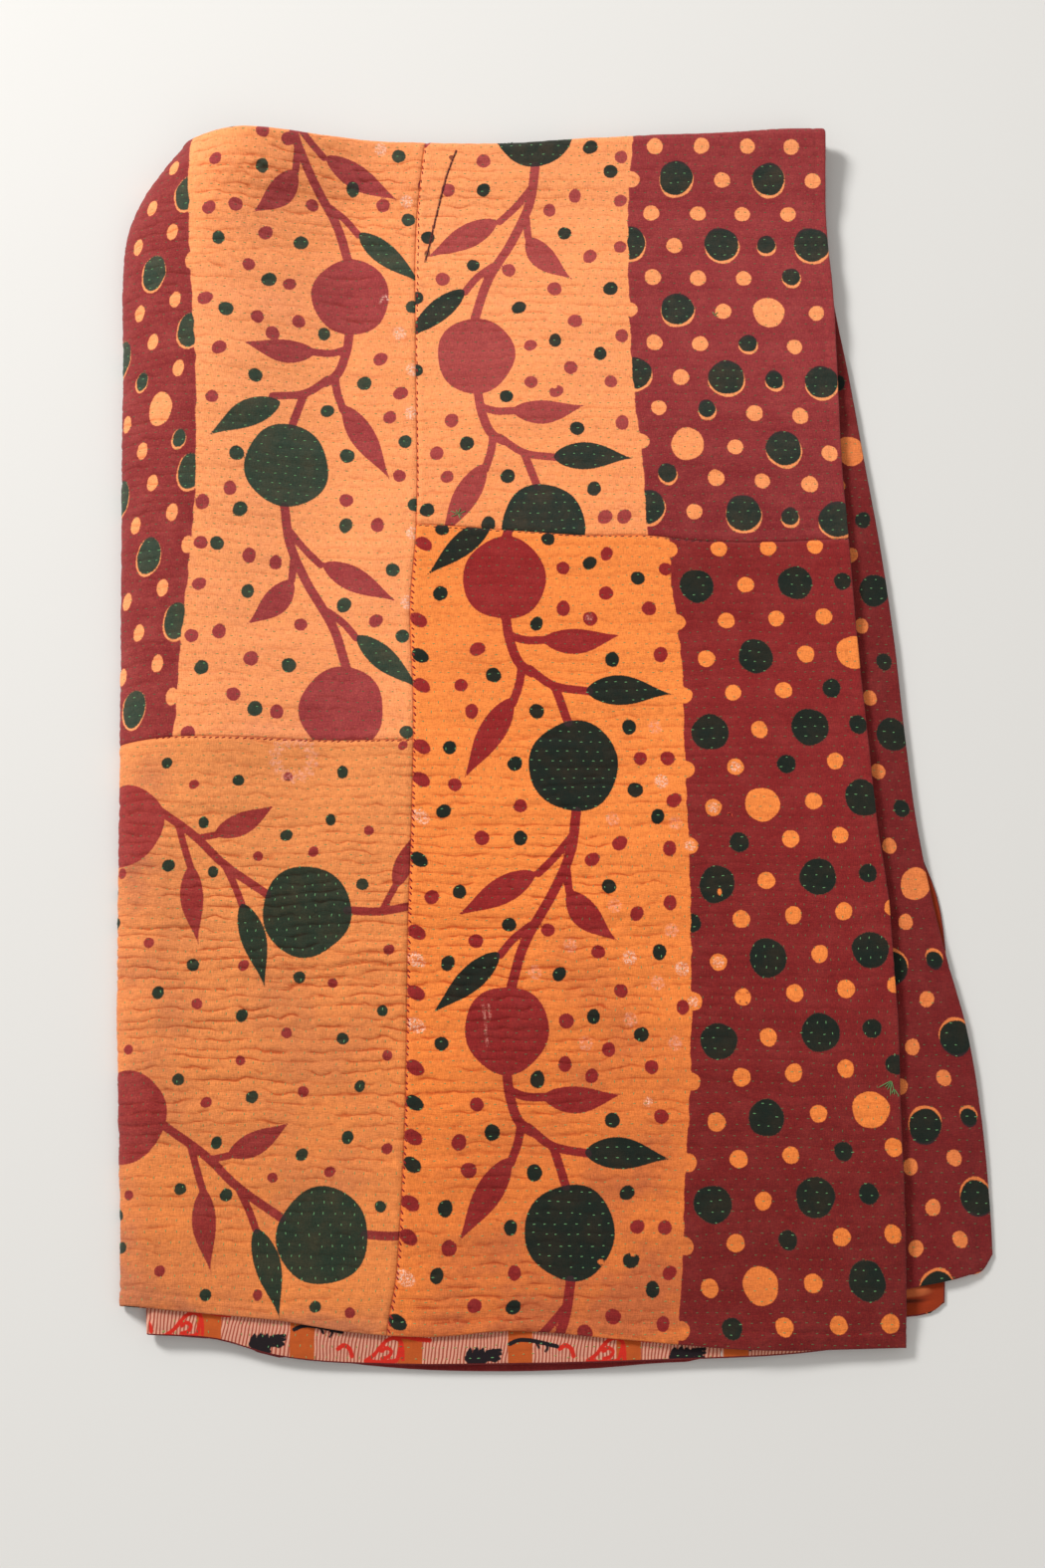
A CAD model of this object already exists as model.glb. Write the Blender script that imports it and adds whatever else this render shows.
"""Kantha quilt folded in four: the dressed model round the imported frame.

Lengths are in millimetres, on a plan with +X right and +Y from the hems to the far fold, and are
brought to metres when a mesh is made. The cloth's shape repeats the part's own tables. A place on
the cloth is (u, w): u runs 0 to 1 across the upper layer from its right-hand edge, 1 to 2 down the
brow of the left roll, 2 to 3 round its foot and 3 to 4 across the lower layer; w runs 0 to 1 from
the hem up the outer pair of layers, 1 to 2 round the far fold, and 2 to 3 back down the inner pair.
"""
import math
import bpy
import numpy as np
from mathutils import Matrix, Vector


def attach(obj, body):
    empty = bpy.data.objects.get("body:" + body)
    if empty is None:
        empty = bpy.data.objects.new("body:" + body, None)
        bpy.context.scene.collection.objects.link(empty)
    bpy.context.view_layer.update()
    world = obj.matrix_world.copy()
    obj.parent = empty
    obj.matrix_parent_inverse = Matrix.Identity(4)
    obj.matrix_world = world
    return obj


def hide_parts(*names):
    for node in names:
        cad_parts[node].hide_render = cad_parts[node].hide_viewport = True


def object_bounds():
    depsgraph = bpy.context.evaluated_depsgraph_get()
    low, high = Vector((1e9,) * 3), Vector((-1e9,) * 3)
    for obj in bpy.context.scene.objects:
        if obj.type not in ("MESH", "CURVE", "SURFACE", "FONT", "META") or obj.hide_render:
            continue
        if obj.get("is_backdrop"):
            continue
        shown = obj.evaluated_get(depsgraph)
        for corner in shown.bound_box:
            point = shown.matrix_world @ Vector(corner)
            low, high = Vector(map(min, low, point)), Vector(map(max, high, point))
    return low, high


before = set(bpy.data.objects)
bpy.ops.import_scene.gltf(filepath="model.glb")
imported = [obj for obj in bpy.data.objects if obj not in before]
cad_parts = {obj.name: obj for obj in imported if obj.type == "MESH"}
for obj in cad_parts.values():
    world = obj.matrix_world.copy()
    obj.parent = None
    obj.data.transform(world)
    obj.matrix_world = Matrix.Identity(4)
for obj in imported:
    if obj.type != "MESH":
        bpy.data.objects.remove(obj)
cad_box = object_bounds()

METRES = 0.001
PLACE = np.array([-0.494, -3.689, 0.0])      # the box's middle on this plan

# ---------------------------------------------------------------- the cloth's shape
CLOTH = 2.6               # thickness of the quilted cloth
LAYER_STEP = 4.2
STACK_MIDDLE = CLOTH / 2.0 + 3.0 * LAYER_STEP
EDGE_BULGE = 1.3          # how far a turned edge stands out
DRAPE_CLEAR = 10.0
DRAPE_RUN = 40.0
FAR_FOLD_OPENING = 4.6
FAR_FOLD_RUN = 95.0
FAR_FOLD_DEPTH = 5.0
ROLL_SQUARENESS = 1.65
ROLL_LOW_SHARE = 0.27
ROLL_LOW_LEAST = 3.2
ROLL_DECAY = 150.0
INNER_PARTING = 8.0
ROLL = (
    ("y", "fold_x", "crest", "brow", "inset", "inner_brow"),
    (-600, -357, 16.5, 20, 24, 6), (-540, -359, 17.0, 22, 23, 7), (-460, -363, 18.0, 26, 19, 10),
    (-380, -368, 20.0, 32, 15, 17), (-270, -374, 22.5, 38, 12, 29), (-150, -378, 25.0, 46, 10, 42),
    (-30, -382, 28.5, 54, 9, 53), (110, -387, 33.0, 60, 8, 60), (240, -392, 38.0, 68, 8, 68),
    (340, -395, 42.0, 74, 8, 74), (420, -399, 45.0, 78, 8, 78), (470, -397, 47.0, 80, 9, 80),
    (505, -386, 48.0, 78, 9, 78), (540, -365, 47.0, 70, 9, 70), (575, -338, 45.0, 58, 9, 58),
)
EDGES = (
    ("y", "top", "second", "third", "bottom"),
    (-600, 318, 290, 399, 352), (-540, 320, 293, 399, 355), (-460, 322, 297, 399, 361),
    (-380, 322, 300, 395, 366), (-300, 323, 304, 385, 370), (-240, 321, 304, 371, 371),
    (-185, 319, 303, 360, 366), (-120, 312, 298, 350, 345), (-30, 306, 293, 342, 333),
    (60, 300, 289, 336, 327), (150, 296, 287, 327, 318), (240, 292, 284, 315, 306),
    (330, 291, 284, 303, 295), (410, 290, 283, 291, 285), (480, 286, 279, 285, 279),
    (580, 287, 280, 281, 275),
)
HEMS = {
    "top": ((-360, -542), (-290, -549), (-225, -555), (-150, -566), (-92, -569), (-20, -564),
            (74, -571), (190, -580), (320, -578)),
    "second": ((-336, -567), (-270, -572), (-235, -582), (-120, -592), (-50, -592),
               (120, -588), (225, -583), (300, -574)),
    "third": ((-336, -566), (-290, -570), (-256, -574), (-240, -582), (-225, -586), (-206, -585),
              (-160, -591), (-118, -595), (-50, -597.5), (10, -597), (53, -595), (100, -591),
              (145, -587), (175, -574), (205, -557), (322, -529), (377, -517), (391, -512),
              (399, -500)),
    "bottom": ((-360, -543), (-200, -556), (0, -562), (200, -560), (322, -552), (338, -550),
               (350, -545), (356, -538)),
}
FAR_FOLD = ((-400, 567), (-330, 571), (-250, 572), (-142, 572), (-30, 571), (44, 577), (96, 580),
            (195, 583), (238, 587), (288, 588))
RIB_PITCH = 48.0
RIB_HEIGHT = 0.5
RIB_FADE = 0.6
PAIRS = {True: ("top", "bottom"), False: ("second", "third")}      # by whether it is the outer one
HEM_ROW = -560.0          # a row by the hems and one by the far fold, to read x on
FOLD_ROW = 540.0
SWELLS = ((0.5, 230.0, -310.0, 2.1), (0.35, -150.0, 205.0, 4.0))


def smooth(value):
    """An eased step from 0 to 1."""
    value = np.clip(value, 0.0, 1.0)
    return value * value * (3.0 - 2.0 * value)


def bell(a, b=0.0):
    """A soft bump, 1 at its middle."""
    return np.exp(-a ** 2 - b ** 2)


def blotches(total, x, y, places):
    """Adds soft bumps: x, y, reach along x and y, and height of each."""
    for middle_x, middle_y, reach_x, reach_y, height_ in places:
        total = total + height_ * bell((x - middle_x) / reach_x, (y - middle_y) / reach_y)
    return total


def lengths(xs, ys):
    """How far along a run of points each one lies."""
    return np.concatenate([[0.0], np.cumsum(np.hypot(np.diff(xs), np.diff(ys)))])


def through(xs, ys, where):
    """A smooth curve through points, read at the given places."""
    xs = np.asarray(xs, float)
    ys = np.asarray(ys, float)
    slopes = np.gradient(ys, xs)
    where = np.clip(where, xs[0], xs[-1])
    left = np.clip(np.searchsorted(xs, where, side="right") - 1, 0, len(xs) - 2)
    run = xs[left + 1] - xs[left]
    share = (where - xs[left]) / run
    square = share * share
    cube = square * share
    start = (2.0 * cube - 3.0 * square + 1.0) * ys[left]
    start_slope = (cube - 2.0 * square + share) * run * slopes[left]
    end = (3.0 * square - 2.0 * cube) * ys[left + 1]
    end_slope = (cube - square) * run * slopes[left + 1]
    return start + start_slope + end + end_slope


def column(table, name, y):
    """One named column of a table, read at y."""
    index = table[0].index(name)
    rows = table[1:]
    return through([row[0] for row in rows], [row[index] for row in rows], y)


def line(points, x):
    """A curve given by pairs, read at x."""
    return through([point[0] for point in points], [point[1] for point in points], x)


def covers(layer, x, y):
    """1 where a layer lies under the given place, easing to 0 past its edge."""
    inside = np.minimum(column(EDGES, layer, y) - x, y - line(HEMS[layer], x))
    return smooth((inside + DRAPE_CLEAR) / DRAPE_RUN + 1.0)


def swell(x, y):
    """Slow unevenness of the upper layers."""
    total = np.zeros(np.broadcast(x, y).shape)
    for height_, along_x, along_y, phase in SWELLS:
        total = total + height_ * np.sin(2.0 * np.pi * (x / along_x + y / along_y) + phase)
    return total


def height(layer, x, y):
    """Height of a layer's middle over the surface that the quilt lies on."""
    level = np.full(np.broadcast(x, y).shape, CLOTH / 2.0)
    if layer == "bottom":
        return level
    opening = FAR_FOLD_OPENING * smooth(1.0 + (y - line(FAR_FOLD, x)) / FAR_FOLD_RUN)
    brow_end = column(ROLL, "fold_x", y) + column(ROLL, "brow", y)
    by_roll = 1.0 - smooth((x - brow_end) / ROLL_DECAY)
    parting = (column(ROLL, "crest", y) - STACK_MIDDLE) * by_roll
    shared = np.maximum(parting - INNER_PARTING, 0.0) / 3.0
    level = level + LAYER_STEP * covers("bottom", x, y) + opening + shared
    if layer == "third":
        return level
    level = level + (LAYER_STEP + swell(x, y)) * covers("third", x, y) + parting - 2.0 * shared
    if layer == "second":
        return level
    return level + LAYER_STEP * covers("second", x, y) + opening + shared


def doubling(outer, u, y):
    """Middle of the outer pair (top, bottom) or the inner pair (second, third) at one y."""
    upper, lower = PAIRS[outer]
    inset = np.zeros_like(y) if outer else column(ROLL, "inset", y)
    fold_x = column(ROLL, "fold_x", y) + inset
    brow = column(ROLL, "brow" if outer else "inner_brow", y)
    brow_x = fold_x + brow
    crest = height(upper, brow_x, y)
    floor = height(lower, fold_x, y)
    rise = crest - floor
    foot = np.maximum(rise * ROLL_LOW_SHARE, np.minimum(rise / 2.0, ROLL_LOW_LEAST))
    widest = floor + foot

    across = np.clip(u, 0.0, 1.0)
    x_upper = column(EDGES, upper, y) * (1.0 - across) + brow_x * across
    z_upper = height(upper, x_upper, y)

    power = 2.0 / ROLL_SQUARENESS
    turn = np.radians(90.0) * np.clip(2.0 - u, 0.0, 1.0)
    x_brow = fold_x + brow * (1.0 - np.cos(turn).clip(0.0) ** power)
    z_brow = widest + (crest - widest) * np.sin(turn).clip(0.0) ** power

    turn = np.radians(90.0) * np.clip(u - 2.0, 0.0, 1.0)
    x_foot = fold_x + foot * (1.0 - np.cos(turn))
    z_foot = widest - (widest - floor) * np.sin(turn)

    across = np.clip(u - 3.0, 0.0, 1.0)
    x_lower = (fold_x + foot) * (1.0 - across) + column(EDGES, lower, y) * across
    z_lower = height(lower, x_lower, y)

    x = np.select([u <= 1.0, u <= 2.0, u <= 3.0], [x_upper, x_brow, x_foot], x_lower)
    z = np.select([u <= 1.0, u <= 2.0, u <= 3.0], [z_upper, z_brow, z_foot], z_lower)
    return x, z


def hem(outer, u):
    """y of the near edge along a doubling."""
    upper, lower = PAIRS[outer]
    x, _ = doubling(outer, u, np.full(u.shape, HEM_ROW))
    return np.where(u <= 2.0, line(HEMS[upper], x), line(HEMS[lower], x))


def turn_line(u):
    """y at which the cloth starts to turn in the far fold."""
    x, _ = doubling(True, u, np.full(u.shape, FOLD_ROW))
    return line(FAR_FOLD, x) - FAR_FOLD_DEPTH


def middle(u, w):
    """Middle of the cloth at (u, w)."""
    turn_y = turn_line(u)
    outer_hem = hem(True, u)
    inner_hem = hem(False, u)
    outer_y = outer_hem + (turn_y - outer_hem) * np.clip(w, 0.0, 1.0)
    inner_y = turn_y + (inner_hem - turn_y) * np.clip(w - 2.0, 0.0, 1.0)
    outer_x, outer_z = doubling(True, u, outer_y)
    inner_x, inner_z = doubling(False, u, inner_y)
    turn = np.radians(180.0) * np.clip(w - 1.0, 0.0, 1.0)
    side = np.cos(turn)
    x = (outer_x + inner_x) / 2.0 + side * (outer_x - inner_x) / 2.0
    z = (outer_z + inner_z) / 2.0 + side * (outer_z - inner_z) / 2.0
    y = np.where(w <= 1.5, outer_y, inner_y) + FAR_FOLD_DEPTH * np.sin(turn)
    on_top = smooth((2.0 - u) / RIB_FADE)
    ribs = RIB_HEIGHT * on_top * np.cos(2.0 * np.pi * outer_y / RIB_PITCH)
    return np.stack([x, y, z + np.where(w <= 1.0, ribs, 0.0)], axis=-1)


def unit(vectors):
    """Vectors brought to length 1."""
    return vectors / np.maximum(np.linalg.norm(vectors, axis=-1, keepdims=True), 1e-9)


def u_at(x, y):
    """u of a place on the flat of the top layer."""
    right = column(EDGES, "top", y)
    brow_x = column(ROLL, "fold_x", y) + column(ROLL, "brow", y)
    return (right - x) / (right - brow_x)


def w_at(u, y):
    """w of a row on the outer pair."""
    near = hem(True, u)
    return (y - near) / (turn_line(u) - near)


# ---------------------------------------------------------------- seams and edges of the patches
LONG_SEAM = (
    (-600, -128), (-560, -127), (-525, -121), (-480, -118), (-400, -115), (-200, -114), (-100, -112),
    (0, -112), (100, -116), (155, -112), (200, -111), (350, -114), (500, -114), (535, -111), (620, -101))
LEFT_SEAM = ((-420, -46), (-381, -42), (-328, -38), (-264, -37), (-218, -37.5), (-100, -37))
RIGHT_SEAM = ((-130, 174), (-113, 174), (-17, 168), (49, 163), (105, 163), (152, 158), (330, 161))
CROSS_SEAM = {True: LEFT_SEAM, False: RIGHT_SEAM}      # by whether it is on the left
# The same way: rough y of the cross seam for counting rows, where the search for it starts, and width.
PATCH_SIZE = {True: (30.0, -35.0, 360.0), False: (165.0, 165.0, 425.0)}
PATCH_TOP = 575.0
PATCH_FOOT = -570.0
ROLL_END = 2.45           # the patches of the top layer end here, in the roll's foot
FOLD_END = 1.62           # and here, past the far fold's crest
FINE = 1.88               # spacing of the points on a patch
FOLD_ROWS = 18            # rows of points over the far fold
ROW_SAMPLES = 260         # places on a row from which its even spacing is worked out


def hashed(i, j, seed):
    """A fixed number from 0 to 1 for each pair of whole numbers."""
    n = (i.astype(np.int64) * 374761393 + j.astype(np.int64) * 668265263 + seed * 974634777)
    n = (n ^ (n >> 13)) * 1274126177
    n = n & 0x7FFFFFFF
    n = (n ^ (n >> 15)) * 2246822519
    return ((n >> 7) & 0xFFFFF) / float(0xFFFFF)


def noise(x, y, seed):
    """Smooth unevenness from -1 to 1, one swell to a unit."""
    i = np.floor(x)
    j = np.floor(y)
    a = smooth(x - i)
    b = smooth(y - j)
    low = hashed(i, j, seed) * (1 - a) + hashed(i + 1, j, seed) * a
    high = hashed(i, j + 1, seed) * (1 - a) + hashed(i + 1, j + 1, seed) * a
    return 2.0 * (low * (1 - b) + high * b) - 1.0


def rough(s, t, swells):
    """Noise of several sizes: height, reach along s and t, and seed of each."""
    return sum(height_ * noise(s / reach_s, t / reach_t, seed) for height_, reach_s, reach_t, seed in swells)


# ---------------------------------------------------------------- rows of quilting
ROW_PITCH = 9.3
STITCH_PITCH = 9.4
STITCH_LENGTH = 2.5
STITCH_WIDTH = 0.85
STITCH_RISE = 0.42
MISSED = 0.05             # share of the stitches that are missing
WOBBLES = ((3.6, 150.0, 210.0, 11), (2.4, 46.0, 42.0, 12), (1.2, 17.0, 11.0, 13), (0.4, 6.0, 7.0, 14))
LUMPS = ((0.24, 8.0, 3.8, 41), (0.46, 36.0, 11.0, 42), (0.14, 5.0, 3.6, 43))


def row_wobble(s, t):
    """How far the quilting rows stray from straight lines."""
    return rough(s, t, WOBBLES)


def row_phase(s, t):
    """Whole numbers on the quilting rows, halves between them."""
    return (t + row_wobble(s, t)) / ROW_PITCH


# Puckered places: x, y, reach along x and y, and how much more the cloth puckers there.
PUCKERS = (
    (-250, 528, 110, 40, 0.75), (-310, 440, 60, 60, 0.35), (-150, 505, 60, 60, 0.35),
    (-178, 395, 45, 40, 0.45), (-60, 500, 80, 60, 0.45), (20, 460, 90, 60, 0.2), (-40, 380, 80, 30, 0.25),
    (-230, -250, 150, 80, 0.65), (-200, -330, 170, 110, 0.55), (-300, -420, 90, 100, 0.45),
    (-190, -120, 120, 90, 0.45), (-330, -180, 60, 90, 0.35),
    (-60, -250, 60, 60, 0.6), (-10, -120, 90, 80, 0.65), (60, -280, 90, 120, 0.75),
    (-50, -420, 80, 120, 0.6), (30, -180, 60, 50, 0.6), (80, -60, 80, 70, 0.5),
    (-370, 300, 40, 260, 0.35), (-20, -540, 130, 40, 0.7), (250, -300, 90, 160, 0.15),
)


def pucker(s, t):
    """How strongly the rows draw the cloth in at a place."""
    return blotches(0.42 - 0.10 * smooth((s - 110.0) / 60.0), s, t, PUCKERS)


def crinkle(s, t):
    """Signed distance to the nearest of the cloth's fine creases, and its depth there."""
    along = s + 6.0 * noise(s / 23.0, t / 9.0, 17)
    across = t + row_wobble(s, t) + 1.8 * noise(s / 12.0, t / 8.0, 18)

    def folds(across):
        return (0.66 * noise(along / 19.0, across / 4.6, 22)
                + 0.34 * noise(along / 7.5 + 3.3, across / 3.1, 23)
                + 0.52 * np.cos(2.0 * np.pi * across / ROW_PITCH))

    slope = (folds(across + 0.4) - folds(across - 0.4)) / 0.8
    away = folds(across) / np.maximum(np.abs(slope), 0.2)
    share = smooth(0.5 + 0.9 * noise(s / 24.0 + 1.7, t / 10.0, 21)
                   + 0.55 * noise(s / 9.0, t / 5.0, 24))
    depth = smooth(-slope / 0.35) * (0.30 + 0.75 * share) * pucker(s, t)
    return np.clip(away, -4.0, 4.0), depth


def row_start(k):
    """Where row k's first stitch lies."""
    return hashed(k, k * 0 + 5, 31) * STITCH_PITCH


def stitch_grid(k, m):
    """Place of stitch m along row k, before the row's own wobble."""
    return row_start(k) + m * STITCH_PITCH + (hashed(k, m, 32) - 0.5) * 3.0


# Deeper creases: points along each, depth and half width.
CREASES = (
    (((-318, 527), (-300, 530), (-284, 526), (-266, 529), (-246, 527)), 1.1, 1.3),
    (((-322, 538), (-290, 541), (-262, 539)), 0.6, 1.3), (((-330, 510), (-300, 507), (-262, 509)), 0.5, 1.3),
    (((-150, 522), (-128, 525), (-106, 520)), 0.7, 1.2), (((-205, 402), (-176, 396), (-148, 399)), 0.6, 1.3),
    (((-196, 386), (-166, 383), (-140, 379)), 0.5, 1.3), (((-40, -30), (-6, -34), (30, -31)), 0.4, 1.5),
    (((-190, -232), (-160, -238), (-130, -234)), 0.7, 1.4),
    (((-225, -246), (-190, -252), (-158, -243), (-128, -248)), 0.9, 1.4),
    (((-240, -262), (-205, -266), (-170, -258), (-125, -263)), 0.7, 1.5),
    (((-345, -232), (-300, -238), (-250, -236)), 0.5, 1.5), (((-60, -205), (-30, -207), (0, -201)), 0.5, 1.5),
    (((-96, -416), (-52, -412), (-20, -413), (26, -415)), 0.7, 1.5),
    (((-72, -394), (-40, -397), (-6, -398)), 0.5, 1.5), (((-96, -555), (-60, -556), (-16, -553)), 0.8, 1.5),
    (((-30, -563), (0, -564), (30, -568)), 0.7, 1.5), (((34, -565), (70, -568), (108, -573)), 0.7, 1.5),
    (((-112, -568), (-70, -570), (-30, -569)), 0.5, 1.5),
)


def relief(s, t):
    """Height of the puckered face over the plain cloth."""
    away, depth = crinkle(s, t)
    amount = 0.45 + 0.75 * pucker(s, t)
    total = -depth * (0.52 * bell(away / 1.3) + 0.34 * bell(away / 3.0))
    phase = row_phase(s, t)
    k = np.round(phase)
    off = np.abs(phase - k) * ROW_PITCH
    m = np.round((s - row_start(k)) / STITCH_PITCH)
    total = total - 0.30 * bell((s - stitch_grid(k, m)) / 2.3, off / 2.0)
    total = total + amount * rough(s, t, LUMPS)
    for points, depth_, width in CREASES:
        total = total - depth_ * bell(stroke(s, t, points, 0.0) / width)
    return total


# ---------------------------------------------------------------- the print, as signed distances
def stroke(x, y, points, half):
    """Distance to a run of straight pieces, less its half width."""
    best = np.full(np.shape(x), 1e9)
    for (x0, y0), (x1, y1) in zip(points[:-1], points[1:]):
        dx = x1 - x0
        dy = y1 - y0
        share = np.clip(((x - x0) * dx + (y - y0) * dy) / max(dx * dx + dy * dy, 1e-9), 0.0, 1.0)
        best = np.minimum(best, np.hypot(x - x0 - share * dx, y - y0 - share * dy))
    return best - half


def softened(points, steps=5):
    """More points on a smooth curve through the given ones."""
    xs, ys = np.array(points, float).T
    run = lengths(xs, ys)
    at = np.interp(np.linspace(0, len(xs) - 1, steps * (len(xs) - 1) + 1), np.arange(len(xs)), run)
    return list(zip(through(run, xs, at), through(run, ys, at)))


def disc(x, y, cx, cy, rx, ry, tilt):
    """A block-printed round, a little out of true."""
    turn = math.radians(tilt)
    dx = (x - cx) * math.cos(turn) + (y - cy) * math.sin(turn)
    dy = -(x - cx) * math.sin(turn) + (y - cy) * math.cos(turn)
    angle = np.arctan2(dy, dx)
    lumpy = 0.020 * np.sin(3 * angle + cx) + 0.014 * np.sin(5 * angle + cy)
    return (np.hypot(dx / rx, dy / ry) - 1.0 - lumpy) * min(rx, ry)


def leaf(x, y, bx, by, tx, ty, half, bow):
    """A leaf from its stalk to its long tip."""
    length = math.hypot(tx - bx, ty - by)
    ux = (tx - bx) / length
    uy = (ty - by) / length
    along = ((x - bx) * ux + (y - by) * uy) / length
    inside = np.clip(along, 0.0, 1.0)
    off = (y - by) * ux - (x - bx) * uy - bow * 4.0 * inside * (1.0 - inside)
    wide = 1.04 * half * np.sin(np.pi * inside ** 0.70) ** (0.85 + 0.75 * inside)
    side = np.abs(off) - wide
    beyond = np.maximum(-along, along - 1.0) * length
    return np.where(beyond > 0.0, np.hypot(np.maximum(side, 0.0), beyond), side)


class Print:
    """Distances to the printed shapes at a piece's points; each is negative inside the shape."""

    FAR = 9.0

    def __init__(self, s, t):
        self.s = s.ravel()
        self.t = t.ravel()
        self.shape = s.shape
        self.layers = {name: np.full(self.s.size, self.FAR) for name in PRINT_LAYERS}

    def draw(self, layer, xs, ys, reach, shape, *numbers, cut=False):
        """Prints a shape in a layer, or cuts it out; it lies within reach of the given places."""
        reach = reach + self.FAR
        at = np.nonzero((self.s > min(xs) - reach) & (self.s < max(xs) + reach)
                        & (self.t > min(ys) - reach) & (self.t < max(ys) + reach))[0]
        if at.size:
            away = shape(self.s[at], self.t[at], *numbers)
            field = self.layers[layer]
            field[at] = np.maximum(field[at], -away) if cut else np.minimum(field[at], away)

    def round(self, layer, x, y, rx, ry=None, tilt=0.0, cut=False):
        """A dot, a spot or one of the vine's rounds."""
        ry = rx if ry is None else ry
        self.draw(layer, (x,), (y,), max(rx, ry) * 1.1, disc, x, y, rx, ry, tilt, cut=cut)

    def frond(self, layer, bx, by, tx, ty, half, bow):
        """A leaf or a flame's spike."""
        self.draw(layer, (bx, tx), (by, ty), half + abs(bow), leaf, bx, by, tx, ty, half, bow)

    def stem(self, layer, half, *points):
        """A stem through some points."""
        points = softened(points) if len(points) > 2 else points
        self.draw(layer, *zip(*points), half, stroke, points, half)

    def field(self, layer, distances):
        """Joins a whole field of distances to a layer."""
        self.layers[layer] = np.minimum(self.layers[layer], distances.ravel())

    def get(self, layer):
        """A layer's distances on the piece's grid."""
        return self.layers[layer].reshape(self.shape)


PRINT_LAYERS = ("maroon", "border", "green", "pale", "ghost", "dark", "spots")
INKS = {"m": "maroon", "g": "green"}

# One repeat of the vine that is printed down three of the patches, charted by hand from the middle
# of its red round: ink, centre, radii and tilt; ink, leaf's foot and tip, half width and bow;
# half width and points of a stem; and the places of the dots.
VINE = {
    "rounds": (("m", 0, 0, 39, 41, 0), ("g", 64, -182, 41, 43, 0)),
    "leaves": (
        ("m", 7, -118, -37, -195, 12, 0), ("m", 36, -61, 108, -55, 12, -4),
        ("m", 28, -282, -42, -322, 12, 0), ("m", 58, -300, 102, -344, 12, -4),
        ("g", -4, -356, -64, -411, 11, 0)),
    "stems": (
        (4.5, (1, -34), (5, -61), (16, -86), (26, -93)), (4.0, (16, -89), (14, -103), (8, -122)),
        (4.0, (23, -89), (45, -105), (78, -111)), (4.0, (47, -107), (59, -141)),
        (4.0, (4, -56), (19, -61), (38, -61)),
        (4.5, (66, -225), (61, -261), (47, -296), (17, -352), (7, -387)),
        (3.6, (63, -247), (44, -270), (31, -283)), (3.6, (57, -278), (59, -299)),
        (3.6, (24, -331), (8, -344), (-3, -358))),
    "maroon": (
        (55, 10), (95, -15), (55, -30), (80, -40), (135, -30), (-25, -70), (145, -75), (-40, -105),
        (-30, -130), (-45, -200), (15, -220), (125, -175), (150, -175), (155, -215), (-20, -250),
        (80, -270), (105, -255), (150, -260), (-65, -305), (150, -310), (120, -320), (40, -335),
        (-25, -345), (85, -355), (105, -390), (160, -405)),
    "green": (
        (80, 15), (125, 0), (-60, -15), (30, -45), (100, -80), (-10, -95), (30, -130), (115, -145),
        (-50, -165), (10, -180), (120, -205), (-55, -225), (140, -230), (15, -250), (-40, -300),
        (95, -295), (5, -330), (-50, -365), (50, -375), (140, -355)),
}
# The vine's green side leaf lies level on the right-hand patches and droops on the mirrored one.
LEVEL_LEAF = ("g", 76, -110, 154, -114, 14, 2)
DROOPING_LEAF = ("g", 71, -116, 140, -156, 13, 3)

# The mirrored block's own dots, from the middle of its red round: x is to the left and y up.
MIRRORED_DOTS = {
    "maroon": (
        (140, -15), (90, -30), (50, -30), (75, -45), (125, -65), (-30, -65), (130, -115), (-50, -100),
        (-40, -125), (110, -205), (135, -220), (-50, -185), (0, -210), (-30, -235), (135, -260),
        (90, -270), (65, -275), (135, -300), (40, -335), (-30, -330), (115, -345), (140, -350),
        (85, -370), (100, -405), (60, -420), (-70, -310)),
    "green": (
        (120, -25), (25, -40), (-60, -10), (80, 10), (90, -90), (-15, -90), (20, -120), (0, -165),
        (105, -170), (-55, -150), (100, -225), (0, -235), (-65, -215), (120, -260), (-45, -280),
        (90, -305), (0, -315), (50, -375), (130, -380), (-55, -345)),
}

# The lower left patch's smaller vine, from the middle of its green round.
SIDE_VINE = {
    "rounds": (("g", 0, 0, 40, 42, 0),),
    "leaves": (
        ("m", -105, 40, -96, -30, 10, -2), ("m", -84, 69, -32, 98, 10, -2),
        ("g", -58, 6, -36, -69, 11, 2), ("m", 80, 22, 96, 71, 8, 0)),
    "stems": (
        (3.8, (-140, 94), (-101, 66), (-79, 45), (-36, 15)), (3.2, (-118, 79), (-111, 56), (-105, 38)),
        (3.2, (-101, 65), (-83, 69)), (3.2, (-74, 40), (-65, 22), (-58, 5)),
        (3.8, (37, 1), (66, 0), (95, 5)), (3.1, (68, 0), (75, 14), (81, 25))),
    "maroon": (
        (-105, 115), (-20, 125), (85, 155), (55, 75), (5, 55), (-45, 50), (-140, -30), (-55, -50),
        (75, -35), (25, -65), (-95, -85), (-15, -110), (75, -130), (-55, -135), (-155, -125), (-170, 35)),
    "green": (
        (-130, 135), (-65, 120), (30, 130), (-95, 80), (-20, 70), (20, 85), (-125, 40), (-85, 35),
        (50, 25), (-100, -50), (-5, -60), (-130, -75), (-55, -95), (70, -90), (35, -115), (-180, 18),
        (-175, -10)),
}
# Where the repeats are printed: x, y, size and turn in degrees.
VINES = {
    "upper_left": ((-184, 832, 1.0, 1.5), (-178, 408, 0.97, 1.5), (-178, -8, 1.0, 0.0)),
    "upper_right": ((-64, 769, 0.99, 0.0), (-56, 347, 0.96, 1.0)),
    "lower_right": ((-37, 534, 1.0, 0.0), (-28, 120, 1.0, 0.0), (-25, -305, 0.96, -2.0)),
    "lower_left": ((-206, -198, 1.0, 0.0), (-185, -485, 1.0, 0.0)),
    "mirrored_dots": ((-178, 836, 1.0, 0.0), (-178, 408, 1.0, 0.0), (-178, -20, 1.0, 0.0)),
}
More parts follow.
